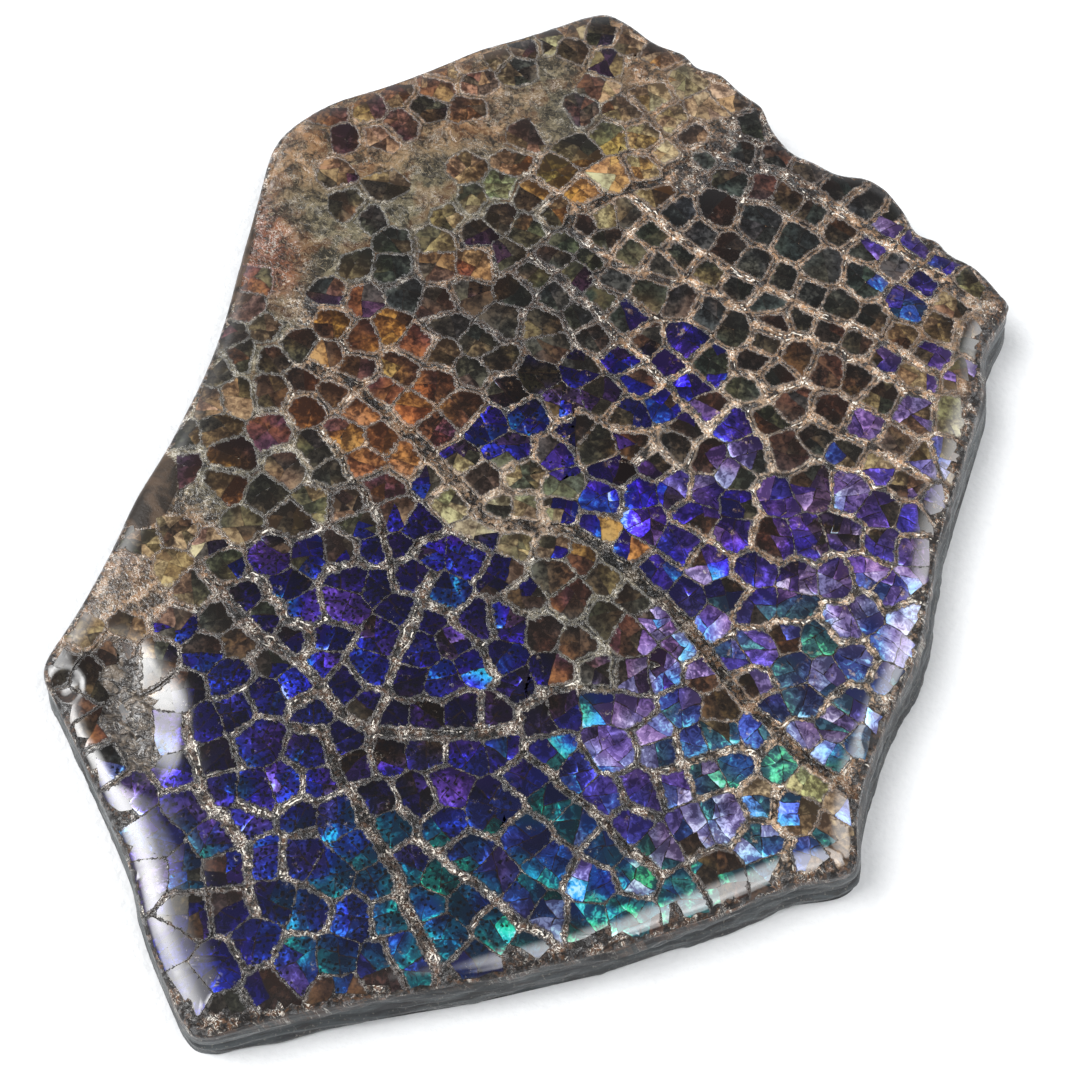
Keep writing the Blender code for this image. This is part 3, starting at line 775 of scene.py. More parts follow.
def vein_crust(material, plates):
    """The mineral between the plates: a sheet that fills the gaps to their level and dips under each plate,
    closed by a thin underside.

    Height is the slab's level, less the dip under the plates, plus grain: strong in the main seams, which add
    their own rise, in the hollows and along the rim's crust. The sheet meets the wall at the rim.
    """
    plan = sheet_plan()
    border = sheet_border()
    height, gap = level(plan)
    straight = plan - bend(plan, gap)
    slack = plate_slack(straight, plates)
    seam_gap, width, rise = seams_near(straight)
    weights = zone_weights(plan)
    pit = pitted(plan)
    smooth = bare(plan) * (1 - pit)
    seam = np.exp(-((seam_gap / (1.15 * width)) ** 4)) * (1 - smooth)
    at_rim = on_loop(RIM_TRAITS, share_at(np.arctan2(plan[:, 1], plan[:, 0])))
    crust_width = at_rim[:, 4] + crust_gain(plan)
    rim = 1 - smooth_step(gap / (1.3 * crust_width + 0.4))
    loose = grain(plan, 1.3, 3, 11)
    ragged = np.clip(3 * (value_noise(plan, 1.6, 17) + 0.6 * value_noise(plan, 0.7, 19)) + 0.6, 0, 1)
    under = smooth_step((slack + 0.1) / 0.3) * (1 - rim)
    sunk = 0.05 + 0.04 * under + rim * 0.12 * ragged + pit * 0.5 * ragged
    rough = 0.02 * (1 - under) + 0.04 * seam + 0.05 * rim + 0.1 * pit
    inland = smooth_step(gap / 0.9)
    height = height + inland * (rise * seam - sunk * (1 - smooth) + rough * loose * (1 - 0.7 * smooth))
    height[border] = at_rim[border, 0]
    top = np.column_stack([plan, height])
    skirt = top[border] * (0.993, 0.993, 1.0) - (0, 0, SHEET_THICKNESS)
    vertices = np.concatenate([top, skirt, [(0.0, 0.0, 4.0)]])
    numbers = np.arange(len(top)).reshape(SHEET_SIDE + 1, SHEET_SIDE + 1)
    corners = (numbers[:-1, :-1], numbers[:-1, 1:], numbers[1:, 1:], numbers[1:, :-1])
    quads = np.column_stack([corner.ravel() for corner in corners])
    below = len(top) + np.arange(len(border))
    faces = [quads, ring_faces(border, below), fan(below[::-1], len(vertices) - 1)]
    drawn = vertices[:, :2] * np.where(np.arange(len(vertices)) < len(top), 1.0, 0.9)[:, None]
    charts = (TOP_CHART, UNDER_CHART, UNDER_CHART)

    def padded(values, fill):
        return np.concatenate([values, np.full((len(border) + 1,) + np.shape(values)[1:], fill)])

    return mesh_object(
        "vein_crust", vertices, faces, material,
        [on_chart(drawn[block], chart) for block, chart in zip(faces, charts)],
        tone=padded(weights @ zone_tones(), 0.05),
        seam=padded(seam, 0.0),
        rim=padded(rim, 1.0),
        bare=padded(smooth.astype(float), 0.0),
        sunken=padded(seam * np.clip(-4 * rise, 0, 1) * (1 - pit), 0.0),
        pit=padded(pit, 0.0),
        cloudy=padded(weights @ zone_shares(["open"])[:, 0], 0.0),
        slack=padded(np.clip(slack, -1, 2), 0.0),
    )


def shale_body(material):
    """The slab's wall and underside.

    A line at each share of the wall's height follows the layers' steps, drawn in a little further by a noise
    that is long along the wall and short up it, as bedding is. The underside is flat.
    """
    border = sheet_plan()[sheet_border()]
    shares = share_at(np.arctan2(border[:, 1], border[:, 0]))
    levels, insets = np.array(LAYERS).T
    step = on_loop(RIM_TRAITS, shares)[:, 3]
    arc = np.arange(len(border)) * BORDER_SPACING
    rings = []
    for share in np.linspace(1.0, 0.0, WALL_LINES):
        ring = on_loop(wall_ring(LOOP, share, np.interp(share, levels, insets)), shares)
        bedding = np.column_stack([arc / 9, np.full(len(arc), share * 17)])
        chips = np.column_stack([arc / 1.6, np.full(len(arc), share * 6)])
        worn = 0.28 * (1 + grain(bedding, 1, 3, 71)) * step + 0.10 * (1 + grain(chips, 1, 2, 83))
        fade = min(1.0, (1 - share) * 8) * (share > 0)
        inward = -ring[:, :2] / np.linalg.norm(ring[:, :2], axis=1, keepdims=True)
        ring[:, :2] += inward * (worn * fade)[:, None]
        rings.append(ring)
    foot = rings[-1]
    rings += [foot * (shrink, shrink, 0.0) for shrink in SOLE_RINGS]
    count = len(border)
    middle = len(rings) * count
    ring_numbers = [np.arange(count) + start * count for start in range(len(rings))]
    bands = [ring_faces(a, b) for a, b in zip(ring_numbers[:-1], ring_numbers[1:])]
    wall, sole = (np.concatenate(some) for some in (bands[:WALL_LINES - 1], bands[WALL_LINES - 1:]))
    faces = [wall, sole, fan(ring_numbers[-1][::-1], middle), fan(ring_numbers[0], middle + 1)]
    vertices = np.concatenate([*rings, [(0, 0, 0)], [(0, 0, 5.0)]])
    under = np.concatenate([np.zeros(count * WALL_LINES), np.ones(count * len(SOLE_RINGS)), [1.0, 0.0]])
    charts = zip(faces[1:], (SOLE_CHART, SOLE_CHART, UNDER_CHART))
    bake_map = [unrolled(count)] + [on_chart(vertices[block][..., :2], chart) for block, chart in charts]
    return mesh_object("shale_body", vertices, faces, material, bake_map, under=under)


def unrolled(count):
    """Places on the map for the wall's faces: its length in strips, one above the other, along the foot."""
    row, column = np.divmod(np.arange((WALL_LINES - 1) * count), count)
    strip, within = np.divmod(column * WALL_STRIPS, count)
    across = (within[:, None] + WALL_STRIPS * np.array([0, 0, 1, 1])) / count
    down = (row[:, None] + np.array([0, 1, 1, 0])) / (WALL_LINES - 1)
    return np.stack([0.01 + 0.74 * across, 0.01 + 0.08 * strip[:, None] + 0.07 * down], axis=-1)


def cluster_of(seeds):
    """The cluster each plate is in, by the nearest of wide-set middles. On the ribs most are their own."""
    rng = np.random.default_rng(SEED + 4)
    cores = [seeds[0]]
    for place in rng.uniform(seeds.min(axis=0), seeds.max(axis=0), (3000, 2)):
        if np.linalg.norm(np.array(cores) - place, axis=1).min() > CLUSTER_SPACING:
            cores.append(place)
    nearest = np.linalg.norm(seeds[:, None] - np.array(cores), axis=2).argmin(axis=1)
    alone = (seeds[:, 0] > 3) & (seeds[:, 1] > 12) & (rng.uniform(size=len(seeds)) < ALONE_SHARE)
    return np.where(alone, len(cores) + np.arange(len(seeds)), nearest)


def depth_within(where, normal, offset):
    """How far each place lies inside its own straight sides: the least of its distances to them, drawn lower
    where two are alike, which rounds the corners."""
    gaps = offset - np.einsum("nhk,nk->nh", normal, where)
    low = gaps.min(axis=-1)
    return low - np.log(np.exp(CORNER_SHARPNESS * (low[..., None] - gaps)).sum(axis=-1)) / CORNER_SHARPNESS


def plate_slack(where, plates):
    """How far each place lies inside the plate nearest to it, in mm: less than nothing in a vein."""
    owner = nearest_seeds(where, plates.seeds)[1]
    return depth_within(where, plates.normal[owner], plates.offset[owner])


def plate_sides(seeds, clusters):
    """Each plate's straight sides, as normals and offsets: half way to its neighbours, less half the gap.

    The gap is a main seam's, or a vein's between clusters, or a crack's within one, and wavers along it. The
    third result is how far the cement stays off each side: its cracks are sheltered, and its veins are not.
    """
    square = ((seeds[:, None] - seeds) ** 2).sum(-1)
    near = np.argsort(square, axis=1)[:, 1:NEIGHBOURS + 1]
    apart = seeds[near] - seeds[:, None]
    normal = apart / np.linalg.norm(apart, axis=2, keepdims=True)
    middle = (seeds[near] + seeds[:, None]) / 2
    flat = middle.reshape(-1, 2)
    seam_gap, width, _ = seams_near(flat)
    weights = zone_weights(flat)
    veins = weights @ np.array([VEINS[zone[4]][1] for zone in ZONES.values()])
    wavering = 1 + VEIN_WAVER * value_noise(flat, 1.7, 5)
    least, wider, crushed = CRACK_WIDTHS
    crack = least + wider * np.maximum(value_noise(flat, 1.3, 6), 0)
    crack = crack + crushed * (weights @ zone_column(CRUSHED))
    apart_clusters = (clusters[near] != clusters[:, None]).ravel()
    half = np.where(apart_clusters, veins * wavering, crack)
    at_seam = seam_gap < SEAM_REACH
    half = np.where(at_seam, np.maximum(width * SEAM_SHARE, half), half).reshape(near.shape)
    shelter = np.where(at_seam | apart_clusters, 0.0, CRACK_SHELTER).reshape(near.shape)
    return normal, (normal * middle).sum(-1) - half, shelter


def cracked(plates):
    """The pieces each plate is cracked into, by cuts across the longest way of its largest piece.

    A piece is kept as random places in it, whose mean is its middle, and the cuts that bound it, each a
    normal and an offset. Places beyond a cut go to the other piece.
    """
    rng = np.random.default_rng(SEED + 1)
    weights = zone_weights(plates.seeds)
    crushed = weights @ zone_column(CRUSHED)
    whole = weights @ zone_parts(("slate", "russet")).sum(axis=1)
    middles, owners, cuts = [], [], []
    for plate, seed in enumerate(plates.seeds):
        places = seed + rng.uniform(-SAMPLED_REACH, SAMPLED_REACH, (SAMPLES, 2))
        places = places[(plates.offset[plate] - places @ plates.normal[plate].T).min(axis=1) > 0.03]
        target = rng.uniform(*PIECE_AREAS) * (1 - CRUSHED_LOSS * crushed[plate])
        target *= 1 + WHOLE_GAIN * whole[plate]
        wanted = int(np.clip(round(SAMPLED_AREA / SAMPLES * len(places) / target), 1, MOST_PIECES))
        pieces = [(places, [])] if len(places) > 5 else []
        while pieces and len(pieces) < wanted:
            pieces.sort(key=lambda piece: (len(piece[0]) if len(piece[1]) < MOST_CUTS else 0))
            places, sides = pieces.pop()
            if len(places) < FEWEST_TO_CUT:
                pieces.append((places, sides))
                break
            centre = places.mean(axis=0)
            longest = np.linalg.eigh((places - centre).T @ (places - centre))[1][:, 1]
            turn = math.atan2(longest[1], longest[0]) + rng.normal(0, CUT_TURN)
            across = np.array([math.cos(turn), math.sin(turn)])
            at = centre @ across + rng.normal(0, CUT_SHIFT)
            beyond = places @ across > at
            pieces.append((places[~beyond], sides + [(*across, at)]))
            pieces.append((places[beyond], sides + [(*-across, -at)]))
        for places, sides in pieces:
            if len(places) < 3:
                continue
            middles.append(places.mean(axis=0))
            owners.append(plate)
            cuts.append(sides + [(0.0, 0.0, 1.0)] * (MOST_CUTS - len(sides)))
    return np.array(middles), np.array(owners), np.array(cuts)


def rim_reach(middles, rays):
    """How far each ray from each middle runs before it crosses the rim."""
    run = np.roll(RIM, -1, axis=0) - RIM

    def work(some):
        reach = RIM - some[:, None]
        over = reach[..., 0] * run[:, 1] - reach[..., 1] * run[:, 0]
        across = reach[:, None, :, 0] * rays[None, :, None, 1] - reach[:, None, :, 1] * rays[None, :, None, 0]
        cross = rays[:, 0, None] * run[:, 1] - rays[:, 1, None] * run[:, 0]
        cross = np.where(np.abs(cross) < 1e-9, 1e-9, cross)
        far, at = over[:, None] / cross, across / cross
        return np.where((far > 0) & (at >= 0) & (at <= 1), far, 1e6).min(axis=2)

    return in_chunks(work, middles, 150)


def piece_outlines(middles, owners, cuts, plates, softness):
    """Each piece's outline, as angles and radii about its middle.

    A side with normal n and offset o is (o - n.c) / (n.u) from the middle c along the ray u. The nearest of
    the plate's sides and the piece's cuts bounds it; a power mean in place of the least rounds its corners.
    Of many fine angles, those are kept that share out the outline's length and its turning evenly, so that
    corners stay.
    """
    angle = np.arange(FINE_ANGLES) * (2 * math.pi / FINE_ANGLES)
    rays = np.column_stack([np.cos(angle), np.sin(angle)])
    sides = np.concatenate([plates.normal[owners], cuts[..., :2]], axis=1)
    limits = np.concatenate([plates.offset[owners] + PLATE_OVERLAP, cuts[..., 2] + CUT_OVERLAP], axis=1)
    slack = np.maximum(limits - np.einsum("fhk,fk->fh", sides, middles), 0.02)
    radii = np.empty((len(middles), FINE_ANGLES))
    for start in range(0, len(middles), 500):
        some = slice(start, start + 500)
        facing = np.einsum("fhk,ak->fah", sides[some], rays)
        nearness = np.maximum(facing, 0) / slack[some][:, None]
        power = softness[some][:, None]
        peak = np.maximum(nearness.max(axis=2, keepdims=True), 1e-4)
        radii[some] = 1 / (peak[..., 0] * ((nearness / peak) ** power[..., None]).sum(axis=2) ** (1 / power))
    gap, run = line_distance(middles, RIM, np.roll(RIM, -1, axis=0))
    outer = gap < 6
    crust = 0.25 + (RIM_TRAITS[run, 4] + crust_gain(middles)) * (0.5 + 0.5 * value_noise(middles, 3.1, 8))
    radii[outer] = np.minimum(radii[outer], rim_reach(middles[outer], rays) - crust[outer, None])
    points = radii[..., None] * rays
    ahead = np.roll(points, -1, axis=1) - points
    length = np.linalg.norm(ahead, axis=2)
    way = np.arctan2(ahead[..., 1], ahead[..., 0])
    turning = np.abs((way - np.roll(way, 1, axis=1) + math.pi) % (2 * math.pi) - math.pi)
    by_length, by_turning = (0.5 * values / values.sum(axis=1, keepdims=True) for values in (length, turning))
    weight = np.minimum(by_length + by_turning, 0.8 / PIECE_CORNERS)
    passed = np.cumsum(weight / weight.sum(axis=1, keepdims=True), axis=1)
    marks = (np.arange(PIECE_CORNERS) + 0.5) / PIECE_CORNERS
    kept = np.minimum((passed[..., None] < marks).sum(axis=1), FINE_ANGLES - 1)
    return angle[kept], np.take_along_axis(radii, kept, axis=1)


def drawn_finishes(middles, owners, plates):
    """A finish for each piece by the zones' shares: one draw serves a cluster, a plate or the piece alone.

    Whole plates are left open, in patches, so that the crushed mass between them is one.
    """
    rng = np.random.default_rng(SEED + 2)
    group = plates.clusters[owners]
    luck = rng.uniform(size=(3, len(middles)))
    by_plate = rng.uniform(size=owners.max() + 1)[owners]
    by_cluster = rng.uniform(size=group.max() + 1)[group]
    alone, with_plate = SHARED_DRAWS
    draw = np.where(luck[0] < alone, luck[1], np.where(luck[0] < with_plate, by_plate, by_cluster))
    odds = np.cumsum(zone_weights(middles) @ zone_shares(FINISH_NAMES), axis=1)
    finish = np.minimum((draw[:, None] * odds[:, -1:] > odds).sum(axis=1), len(FINISH_NAMES) - 1)
    scatter = rng.uniform(size=len(plates.seeds)) - 0.5
    patchy = 0.5 + 0.45 * value_noise(plates.seeds, 6.0, 61) + 0.35 * scatter
    open_there = zone_weights(plates.seeds) @ zone_shares(["open"])[:, 0]
    return finish, ((patchy < 1.15 * open_there) & (open_there > 0.05))[owners]


def local_colours(middles, finish, part):
    """Each piece's colour: its finish's, drawn towards the mean of that family of finishes thereabouts."""
    weights = zone_weights(middles)
    result = np.array([linear(look[part]) for look in FINISHES.values()])[finish]
    for family, member in ((NACRE, finish < len(NACRE)), (STAINED, finish >= len(NACRE))):
        parts = zone_parts(family)
        total = weights @ parts.sum(axis=1)
        colours = np.array([linear(look[part]) for look in family.values()])
        mean = (weights @ parts @ colours) / np.maximum(total, 1e-6)[:, None]
        drawn = member & (total > 0.2)
        result[drawn] = 0.7 * result[drawn] + 0.3 * mean[drawn]
    return result


def drifting(middles, finish, part, film):
    """Colours at each piece's points: its own finish's, drifting to its neighbours' as the film does."""
    own = local_colours(middles, finish, part)[:, None]
    drifted = own
    film = film * np.where(finish >= len(NACRE), STAINED_DRIFT, 1.0)[:, None]
    for side, share in ((3, np.clip(-film, 0, 1)), (4, np.clip(film, 0, 1))):
        beside = np.array([FINISH_NAMES.index(look[side]) for look in FINISHES.values()])[finish]
        drifted = drifted + share[..., None] * (local_colours(middles, beside, part)[:, None] - own)
    return drifted


def kept_pieces(rng, plates):
    """The pieces of shell that are left: middle, plate, outline, finish and glow of each."""
    middles, owners, cuts = cracked(plates)
    finish, is_open = drawn_finishes(middles, owners, plates)
    glow = np.array([look[2] for look in FINISHES.values()])[finish]
    glow = glow + 0.14 * rng.normal(size=len(plates.seeds))[owners] + 0.07 * rng.normal(size=len(middles))
    for x, y, name, shown in ACCENTS:
        gap = np.hypot(middles[:, 0] - x, middles[:, 1] - y)
        near = gap < max(ACCENT_REACH, gap.min() + 0.01)
        finish[near] = FINISH_NAMES.index(name)
        glow[near] = shown
        is_open[near] = False
    softness = np.where(finish < len(NACRE), *CORNER_POWERS)
    angles, radii = piece_outlines(middles, owners, cuts, plates, softness)
    keep = (radii.min(axis=1) > LEAST_RADIUS) & (radii.mean(axis=1) > LEAST_MEAN_RADIUS)
    keep &= ~bare(middles) & ~is_open & inside(middles, RIM) & (pitted(middles) < PIT_EDGE)
    return [values[keep] for values in (middles, owners, angles, radii, finish, glow)]


def piece_grid(middles, angles, radii):
    """Each piece's points in plan: its middle, then rings at shares of its radius. Also each point's distance
    from the piece's edge, and its place in the piece, whose mean radius counts as one."""
    rings = np.array(PIECE_RINGS)
    mean = radii.mean(axis=1)[:, None]
    rays = np.stack([np.cos(angles), np.sin(angles)], axis=2)
    around = middles[:, None, None] + rings[:, None, None] * (radii[..., None] * rays)[:, None]
    plan = np.concatenate([middles[:, None], around.reshape(len(middles), -1, 2)], axis=1)
    share = np.concatenate([[0.0], np.repeat(rings, PIECE_CORNERS)])
    inward = (1 - share) * np.concatenate([mean, np.tile(radii, (1, len(rings)))], axis=1)
    return plan, inward, (plan - middles[:, None]) / mean[..., None]


def laid_on_slab(plan):
    """Places bent as the cracks are, with the slab's level and slope there, and how far the rim was."""
    flat = plan.reshape(-1, 2)
    gap = line_distance(flat, RIM, np.roll(RIM, -1, axis=0))[0]
    flat = flat + bend(flat, gap)
    height, _ = level(flat)
    slope = slopes(flat, height).reshape(plan.shape)
    height, gap = (values.reshape(plan.shape[:2]) for values in (height, gap))
    return flat.reshape(plan.shape), height, slope, gap


def with_foot(values):
    """Each piece's values, and after them those of its foot: its outer ring's again, and its middle's."""
    return np.concatenate([values, values[:, -PIECE_CORNERS:], values[:, :1]], axis=1)


def shell_pieces(materials, plates):
    """The cracked plates, flush with each other under one polish: a mesh for each family of finishes.

    A point at ring r and angle a stands r times the piece's radius from its middle, bent as the cracks are.
    It lies at the slab's level, and flanks sink from the last ring to a foot that follows the slab and is
    drawn in a little. The normals are the slab's own, tipped a little outwards from each plate's middle, as
    the polish left the plates faintly domed. "inward" is the distance from the piece's edge, and "slack" that
    from the plate's, with its cracks sheltered from the cement.
    """
    rng = np.random.default_rng(SEED + 3)
    middles, owners, angles, radii, finish, glow = kept_pieces(rng, plates)
    count, plate_count = len(middles), len(plates.seeds)
    plan, inward, local = piece_grid(middles, angles, radii)
    sheltered = (plates.offset + plates.shelter)[owners]
    slack = [depth_within(plan[:, point], plates.normal[owners], sheltered) for point in range(plan.shape[1])]
    places, height, slope, gap = laid_on_slab(plan)
    foot_height = np.column_stack([height[:, -PIECE_CORNERS:], height.min(axis=1)]) - PIECE_DEPTH
    places = with_foot(places)
    foot = slice(-PIECE_CORNERS - 1, -1)
    places[:, foot] += FOOT_DRAWN_IN * (places[:, :1] - places[:, foot])
    vertices = np.concatenate([places, np.concatenate([height, foot_height], axis=1)[..., None]], axis=2)
    domed = np.clip((places - plates.seeds[owners][:, None]) / DOME_REACH, -1.2, 1.2)
    lean = OWN_LEAN * rng.normal(size=(count, 1, 2))
    ground = with_foot(0.25 + 0.75 * smooth_step((gap - 1.5) / 6))[..., None]
    outward = ground * (DOME_LEAN * domed + lean) - with_foot(slope)
    normals = np.concatenate([outward, np.ones((*outward.shape[:2], 1))], axis=2)
    normals /= np.linalg.norm(normals, axis=2, keepdims=True)

    # Painted light: each piece and plate is painted brighter towards one side, the way sway turns, as if lit
    # from there; piece_slope and plate_slope run along that way.
    sway = rng.normal(0, 0.5, plate_count)[owners] + rng.normal(0, 0.3, count) - 1.9
    way = np.stack([np.cos(sway), np.sin(sway)], axis=1)[:, None]
    piece_slope = with_foot((local * way).sum(-1))
    plate_slope = (domed * way).sum(-1)
    film = 1.1 * value_noise(places.reshape(-1, 2), 3.2, 51).reshape(count, -1)
    film += 0.35 * plate_slope + 0.35 * rng.normal(size=plate_count)[owners][:, None]
    film += 0.18 * rng.normal(size=(count, 1))
    light = np.exp(0.1 * rng.normal(size=count) + 0.2 * rng.normal(size=plate_count)[owners])[:, None, None]
    tint = 1 + 0.05 * rng.normal(size=(count, 1, 3)) + 0.08 * rng.normal(size=(plate_count, 1, 3))[owners]
    tint = np.clip(tint, 0.6, 1.5)
    weights = zone_weights(middles)
    spread = {
        "tone": weights @ zone_tones(),
        "pores": weights @ zone_column(POROUS),
        "own": rng.uniform(size=count),
    }
    size = vertices.shape[1]
    by_point = {
        "body": np.clip(drifting(middles, finish, 0, film) * light * tint, 0, 1),
        "flash": np.clip(drifting(middles, finish, 1, film) * tint, 0, 1),
        # How far the flash shows: the finish's own share and random, plus painted light on one side of each
        # piece and plate.
        "flash_and_painted_light": glow[:, None] + 0.1 * piece_slope + 0.16 * plate_slope,
        # Painted highlights along each piece's edges on its lit side, strong on some pieces and none on most.
        "painted_edge_highlight": np.maximum(rng.normal(-0.1, 0.6, count), 0)[:, None] * np.clip(piece_slope, 0, 1) ** 2,
        "inward": with_foot(inward) * (np.arange(size) < plan.shape[1]),
        "slack": np.clip(with_foot(np.stack(slack, axis=1)), -1, 3),
    }
    inner, outer, foot = (1 + ring * PIECE_CORNERS + np.arange(PIECE_CORNERS) for ring in range(3))
    sheets = (
        (ring_faces(inner, outer), TOP_CHART), (fan(inner, 0), TOP_CHART),
        (ring_faces(outer, foot), UNDER_CHART), (fan(foot[::-1], size - 1), UNDER_CHART),
    )
    drawn = places.copy()
    drawn[:, foot] = 0.75 * drawn[:, foot] + 0.25 * drawn[:, :1]
    made = []
    for name, (family, material) in materials.items():
        chosen = np.isin(np.array(FINISH_NAMES)[finish], family)
        many = int(chosen.sum())
        start = (np.arange(many) * size)[:, None, None]
        faces = [(sheet + start).reshape(-1, sheet.shape[1]) for sheet, _ in sheets]
        flat_places = drawn[chosen].reshape(-1, 2)
        bake_map = [on_chart(flat_places[block], chart) for block, (_, chart) in zip(faces, sheets)]
        made.append(mesh_object(
            name, vertices[chosen].reshape(-1, 3), faces, material, bake_map, normals[chosen].reshape(-1, 3),
            **{
                key: values[chosen].reshape(many * size, *values.shape[2:])
                for key, values in by_point.items()
            },
            **{key: np.repeat(values[chosen], size, axis=0) for key, values in spread.items()},
        ))
    return made


def shader_node(tree, kind, sockets=(), output=0, **settings):
    """Adds a node with its settings, links or sets its sockets by number or name, and gives one output."""
    made = tree.nodes.new("ShaderNode" + kind)
    for name, value in settings.items():
        setattr(made, name, value)
    for key, value in (sockets if isinstance(sockets, dict) else dict(enumerate(sockets))).items():
        if isinstance(value, bpy.types.NodeSocket):
            tree.links.new(value, made.inputs[key])
        elif value is not None:
            made.inputs[key].default_value = value
    return made.outputs[output]


def new_material(name, **constants):
    """A material with one Principled shader, whose constant sockets are set here, and its node adder."""
    material = bpy.data.materials.new(name)
    material.use_nodes = True
    shader = material.node_tree.nodes["Principled BSDF"]
    for key, value in constants.items():
        shader.inputs[key.replace("_", " ")].default_value = value
    return material, shader, partial(shader_node, material.node_tree)


def plug(shader, **outputs):
    """Links outputs to the shader's sockets, with a low line for each space in a socket's name."""
    for name, output in outputs.items():
        shader.id_data.links.new(output, shader.inputs[name.replace("_", " ")])


def layered(put, base, *layers):
    """A base colour with others laid over it in turn, each given as how far it covers and its colour."""
    for cover, over in layers:
        base = put("Mix", {0: cover, 6: base, 7: over}, 2, data_type="RGBA")
    return base


def colour(code):
    """An sRGB hex colour for a socket."""
    return (*linear(code), 1.0)


def ridges(put, noise, width, strength):
    """Thin curved lines along a noise's middle value, as wide as width allows."""
    off = put("Math", (put("Math", (noise, 0.5), operation="SUBTRACT"),), operation="ABSOLUTE")
    return put("MapRange", (off, 0.3 * width, width, strength, 0.0))


def in_millimetres(put):
    """Object coordinates in millimetres, so that a pattern's scale is its count per millimetre."""
    return put("VectorMath", {0: put("TexCoord", (), "Object"), "Scale": 1000.0}, operation="SCALE")


def mineral(put, place, tone):
    """Cement of angular grains, about half a millimetre, from near black through the local tone to cream,
    with near-white lines painted along crystal edges as glints (painted highlights). Gives its colour, its
    height and which grains are clear."""
    wobble = put("TexNoise", {"Vector": place, "Scale": 1.2, "Detail": 2.0}, "Color", **FLAT_NOISE)
    bent = put("VectorMath", {0: wobble, 1: (1.1, 1.1, 1.1), 2: place}, operation="MULTIPLY_ADD")
    lot = put("SeparateColor", (put("TexVoronoi", {"Vector": bent, "Scale": 2.0}, "Color", **FLAT_CELLS),))
    clouds = put("TexNoise", {"Vector": place, "Scale": 0.45, "Detail": 4.0}, **FLAT_NOISE)
    grit = put("TexNoise", {"Vector": place, "Scale": 2.2, "Detail": 3.0, "Distortion": 0.8}, **FLAT_NOISE)
    mixed = put("Math", (clouds, 1.1), operation="MULTIPLY")
    mixed = put("Math", (lot, 0.4, mixed), operation="MULTIPLY_ADD")
    mixed = put("Math", (grit, 0.6, mixed), operation="MULTIPLY_ADD")
    patch = put("MapRange", (clouds, 0.5, 0.6))
    pale = put("Mix", {0: 1.0, 6: tone, 7: (2.3, 2.2, 2.1, 1)}, 2, **TIMES)
    cement = layered(
        put, put("Mix", {0: 1.0, 6: tone, 7: (0.07, 0.06, 0.055, 1)}, 2, **TIMES),
        (put("MapRange", (mixed, 0.95, 1.08)), tone),
        (put("MapRange", (mixed, 1.14, 1.32)), pale),
        # Painted highlight: thin curved lines, in patches, painted near white as glints off the grains'
        # crystal edges.
        (put("Math", (ridges(put, grit, 0.035, 0.95), patch), operation="MULTIPLY"), colour("#e8e2d6")),
    )
    height = put("Math", (lot.node.outputs[2], 0.5, grit), operation="MULTIPLY_ADD")
    clear = put("MapRange", (lot.node.outputs[1], 0.5, 0.75))
    return cement, height, clear


def own_place(put):
    """Object coordinates in millimetres, and the same carried away by each piece's own number."""
    place = in_millimetres(put)
    away = put("Math", (put("Attribute", (), "Fac", attribute_name="own"), 90.0), operation="MULTIPLY")
    return place, put("VectorMath", (place, put("CombineXYZ", {"X": away, "Y": away})), operation="ADD")


def pore_mask(put, place):
    """Black pores in the shell, about 0.3 mm across and 0.7 mm apart, where the zone has them."""
    pores = put("Attribute", (), "Fac", attribute_name="pores")
    wobble = put("TexNoise", {"Vector": place, "Scale": 2.2, "Detail": 1.0}, "Color", **FLAT_NOISE)
    bent = put("VectorMath", {0: wobble, 1: (0.4, 0.4, 0.4), 2: place}, operation="MULTIPLY_ADD")
    dots = put("TexVoronoi", {"Vector": bent, "Scale": 1.45}, "Distance", **FLAT_CELLS)
    some = put("SeparateColor", (dots.node.outputs["Color"],))
    hole = put("MapRange", (dots, 0.2, 0.33, 0.92, 0.0))
    rare = put("MapRange", (pores, 0.0, 0.8, 1.0, 0.05))
    return put("Math", (hole, put("Math", (some, rare), operation="GREATER_THAN")), operation="MULTIPLY")


def edge_masks(put, place, slack, reach, clean):
    """Where cement covers a plate's edge, raggedly and up to reach in from it, and a dark line along that
    border that is painted shade.
    """
    ragged = put("TexNoise", {"Vector": place, "Scale": 1.5, "Detail": 4.0, "Roughness": 0.65}, **FLAT_NOISE)
    over = put("Math", (slack, put("MapRange", (ragged, 0.35, 0.7, 0.0, reach))), operation="SUBTRACT")
    edge = put("MapRange", (over, -0.06, clean, 1.0, 0.0), interpolation_type="SMOOTHSTEP")
    past = put("Math", (over, 0.7 * clean), operation="SUBTRACT")
    border = put("MapRange", (put("Math", (past,), operation="ABSOLUTE"), 0.02, 0.12, 0.7, 0.0))
    return edge, border


def crack_mask(put, place, inward):
    """Hairline cracks along a piece's edge, 0.05 to 0.15 mm wide, that fade out in places."""
    waver = put("TexNoise", {"Vector": place, "Scale": 1.1, "Detail": 2.0}, **FLAT_NOISE)
    reach = put("MapRange", (waver, 0.35, 0.65, 0.0, 0.1))
    return put("MapRange", (put("Math", (inward, reach), operation="SUBTRACT"), -0.01, 0.05, 0.9, 0.0))


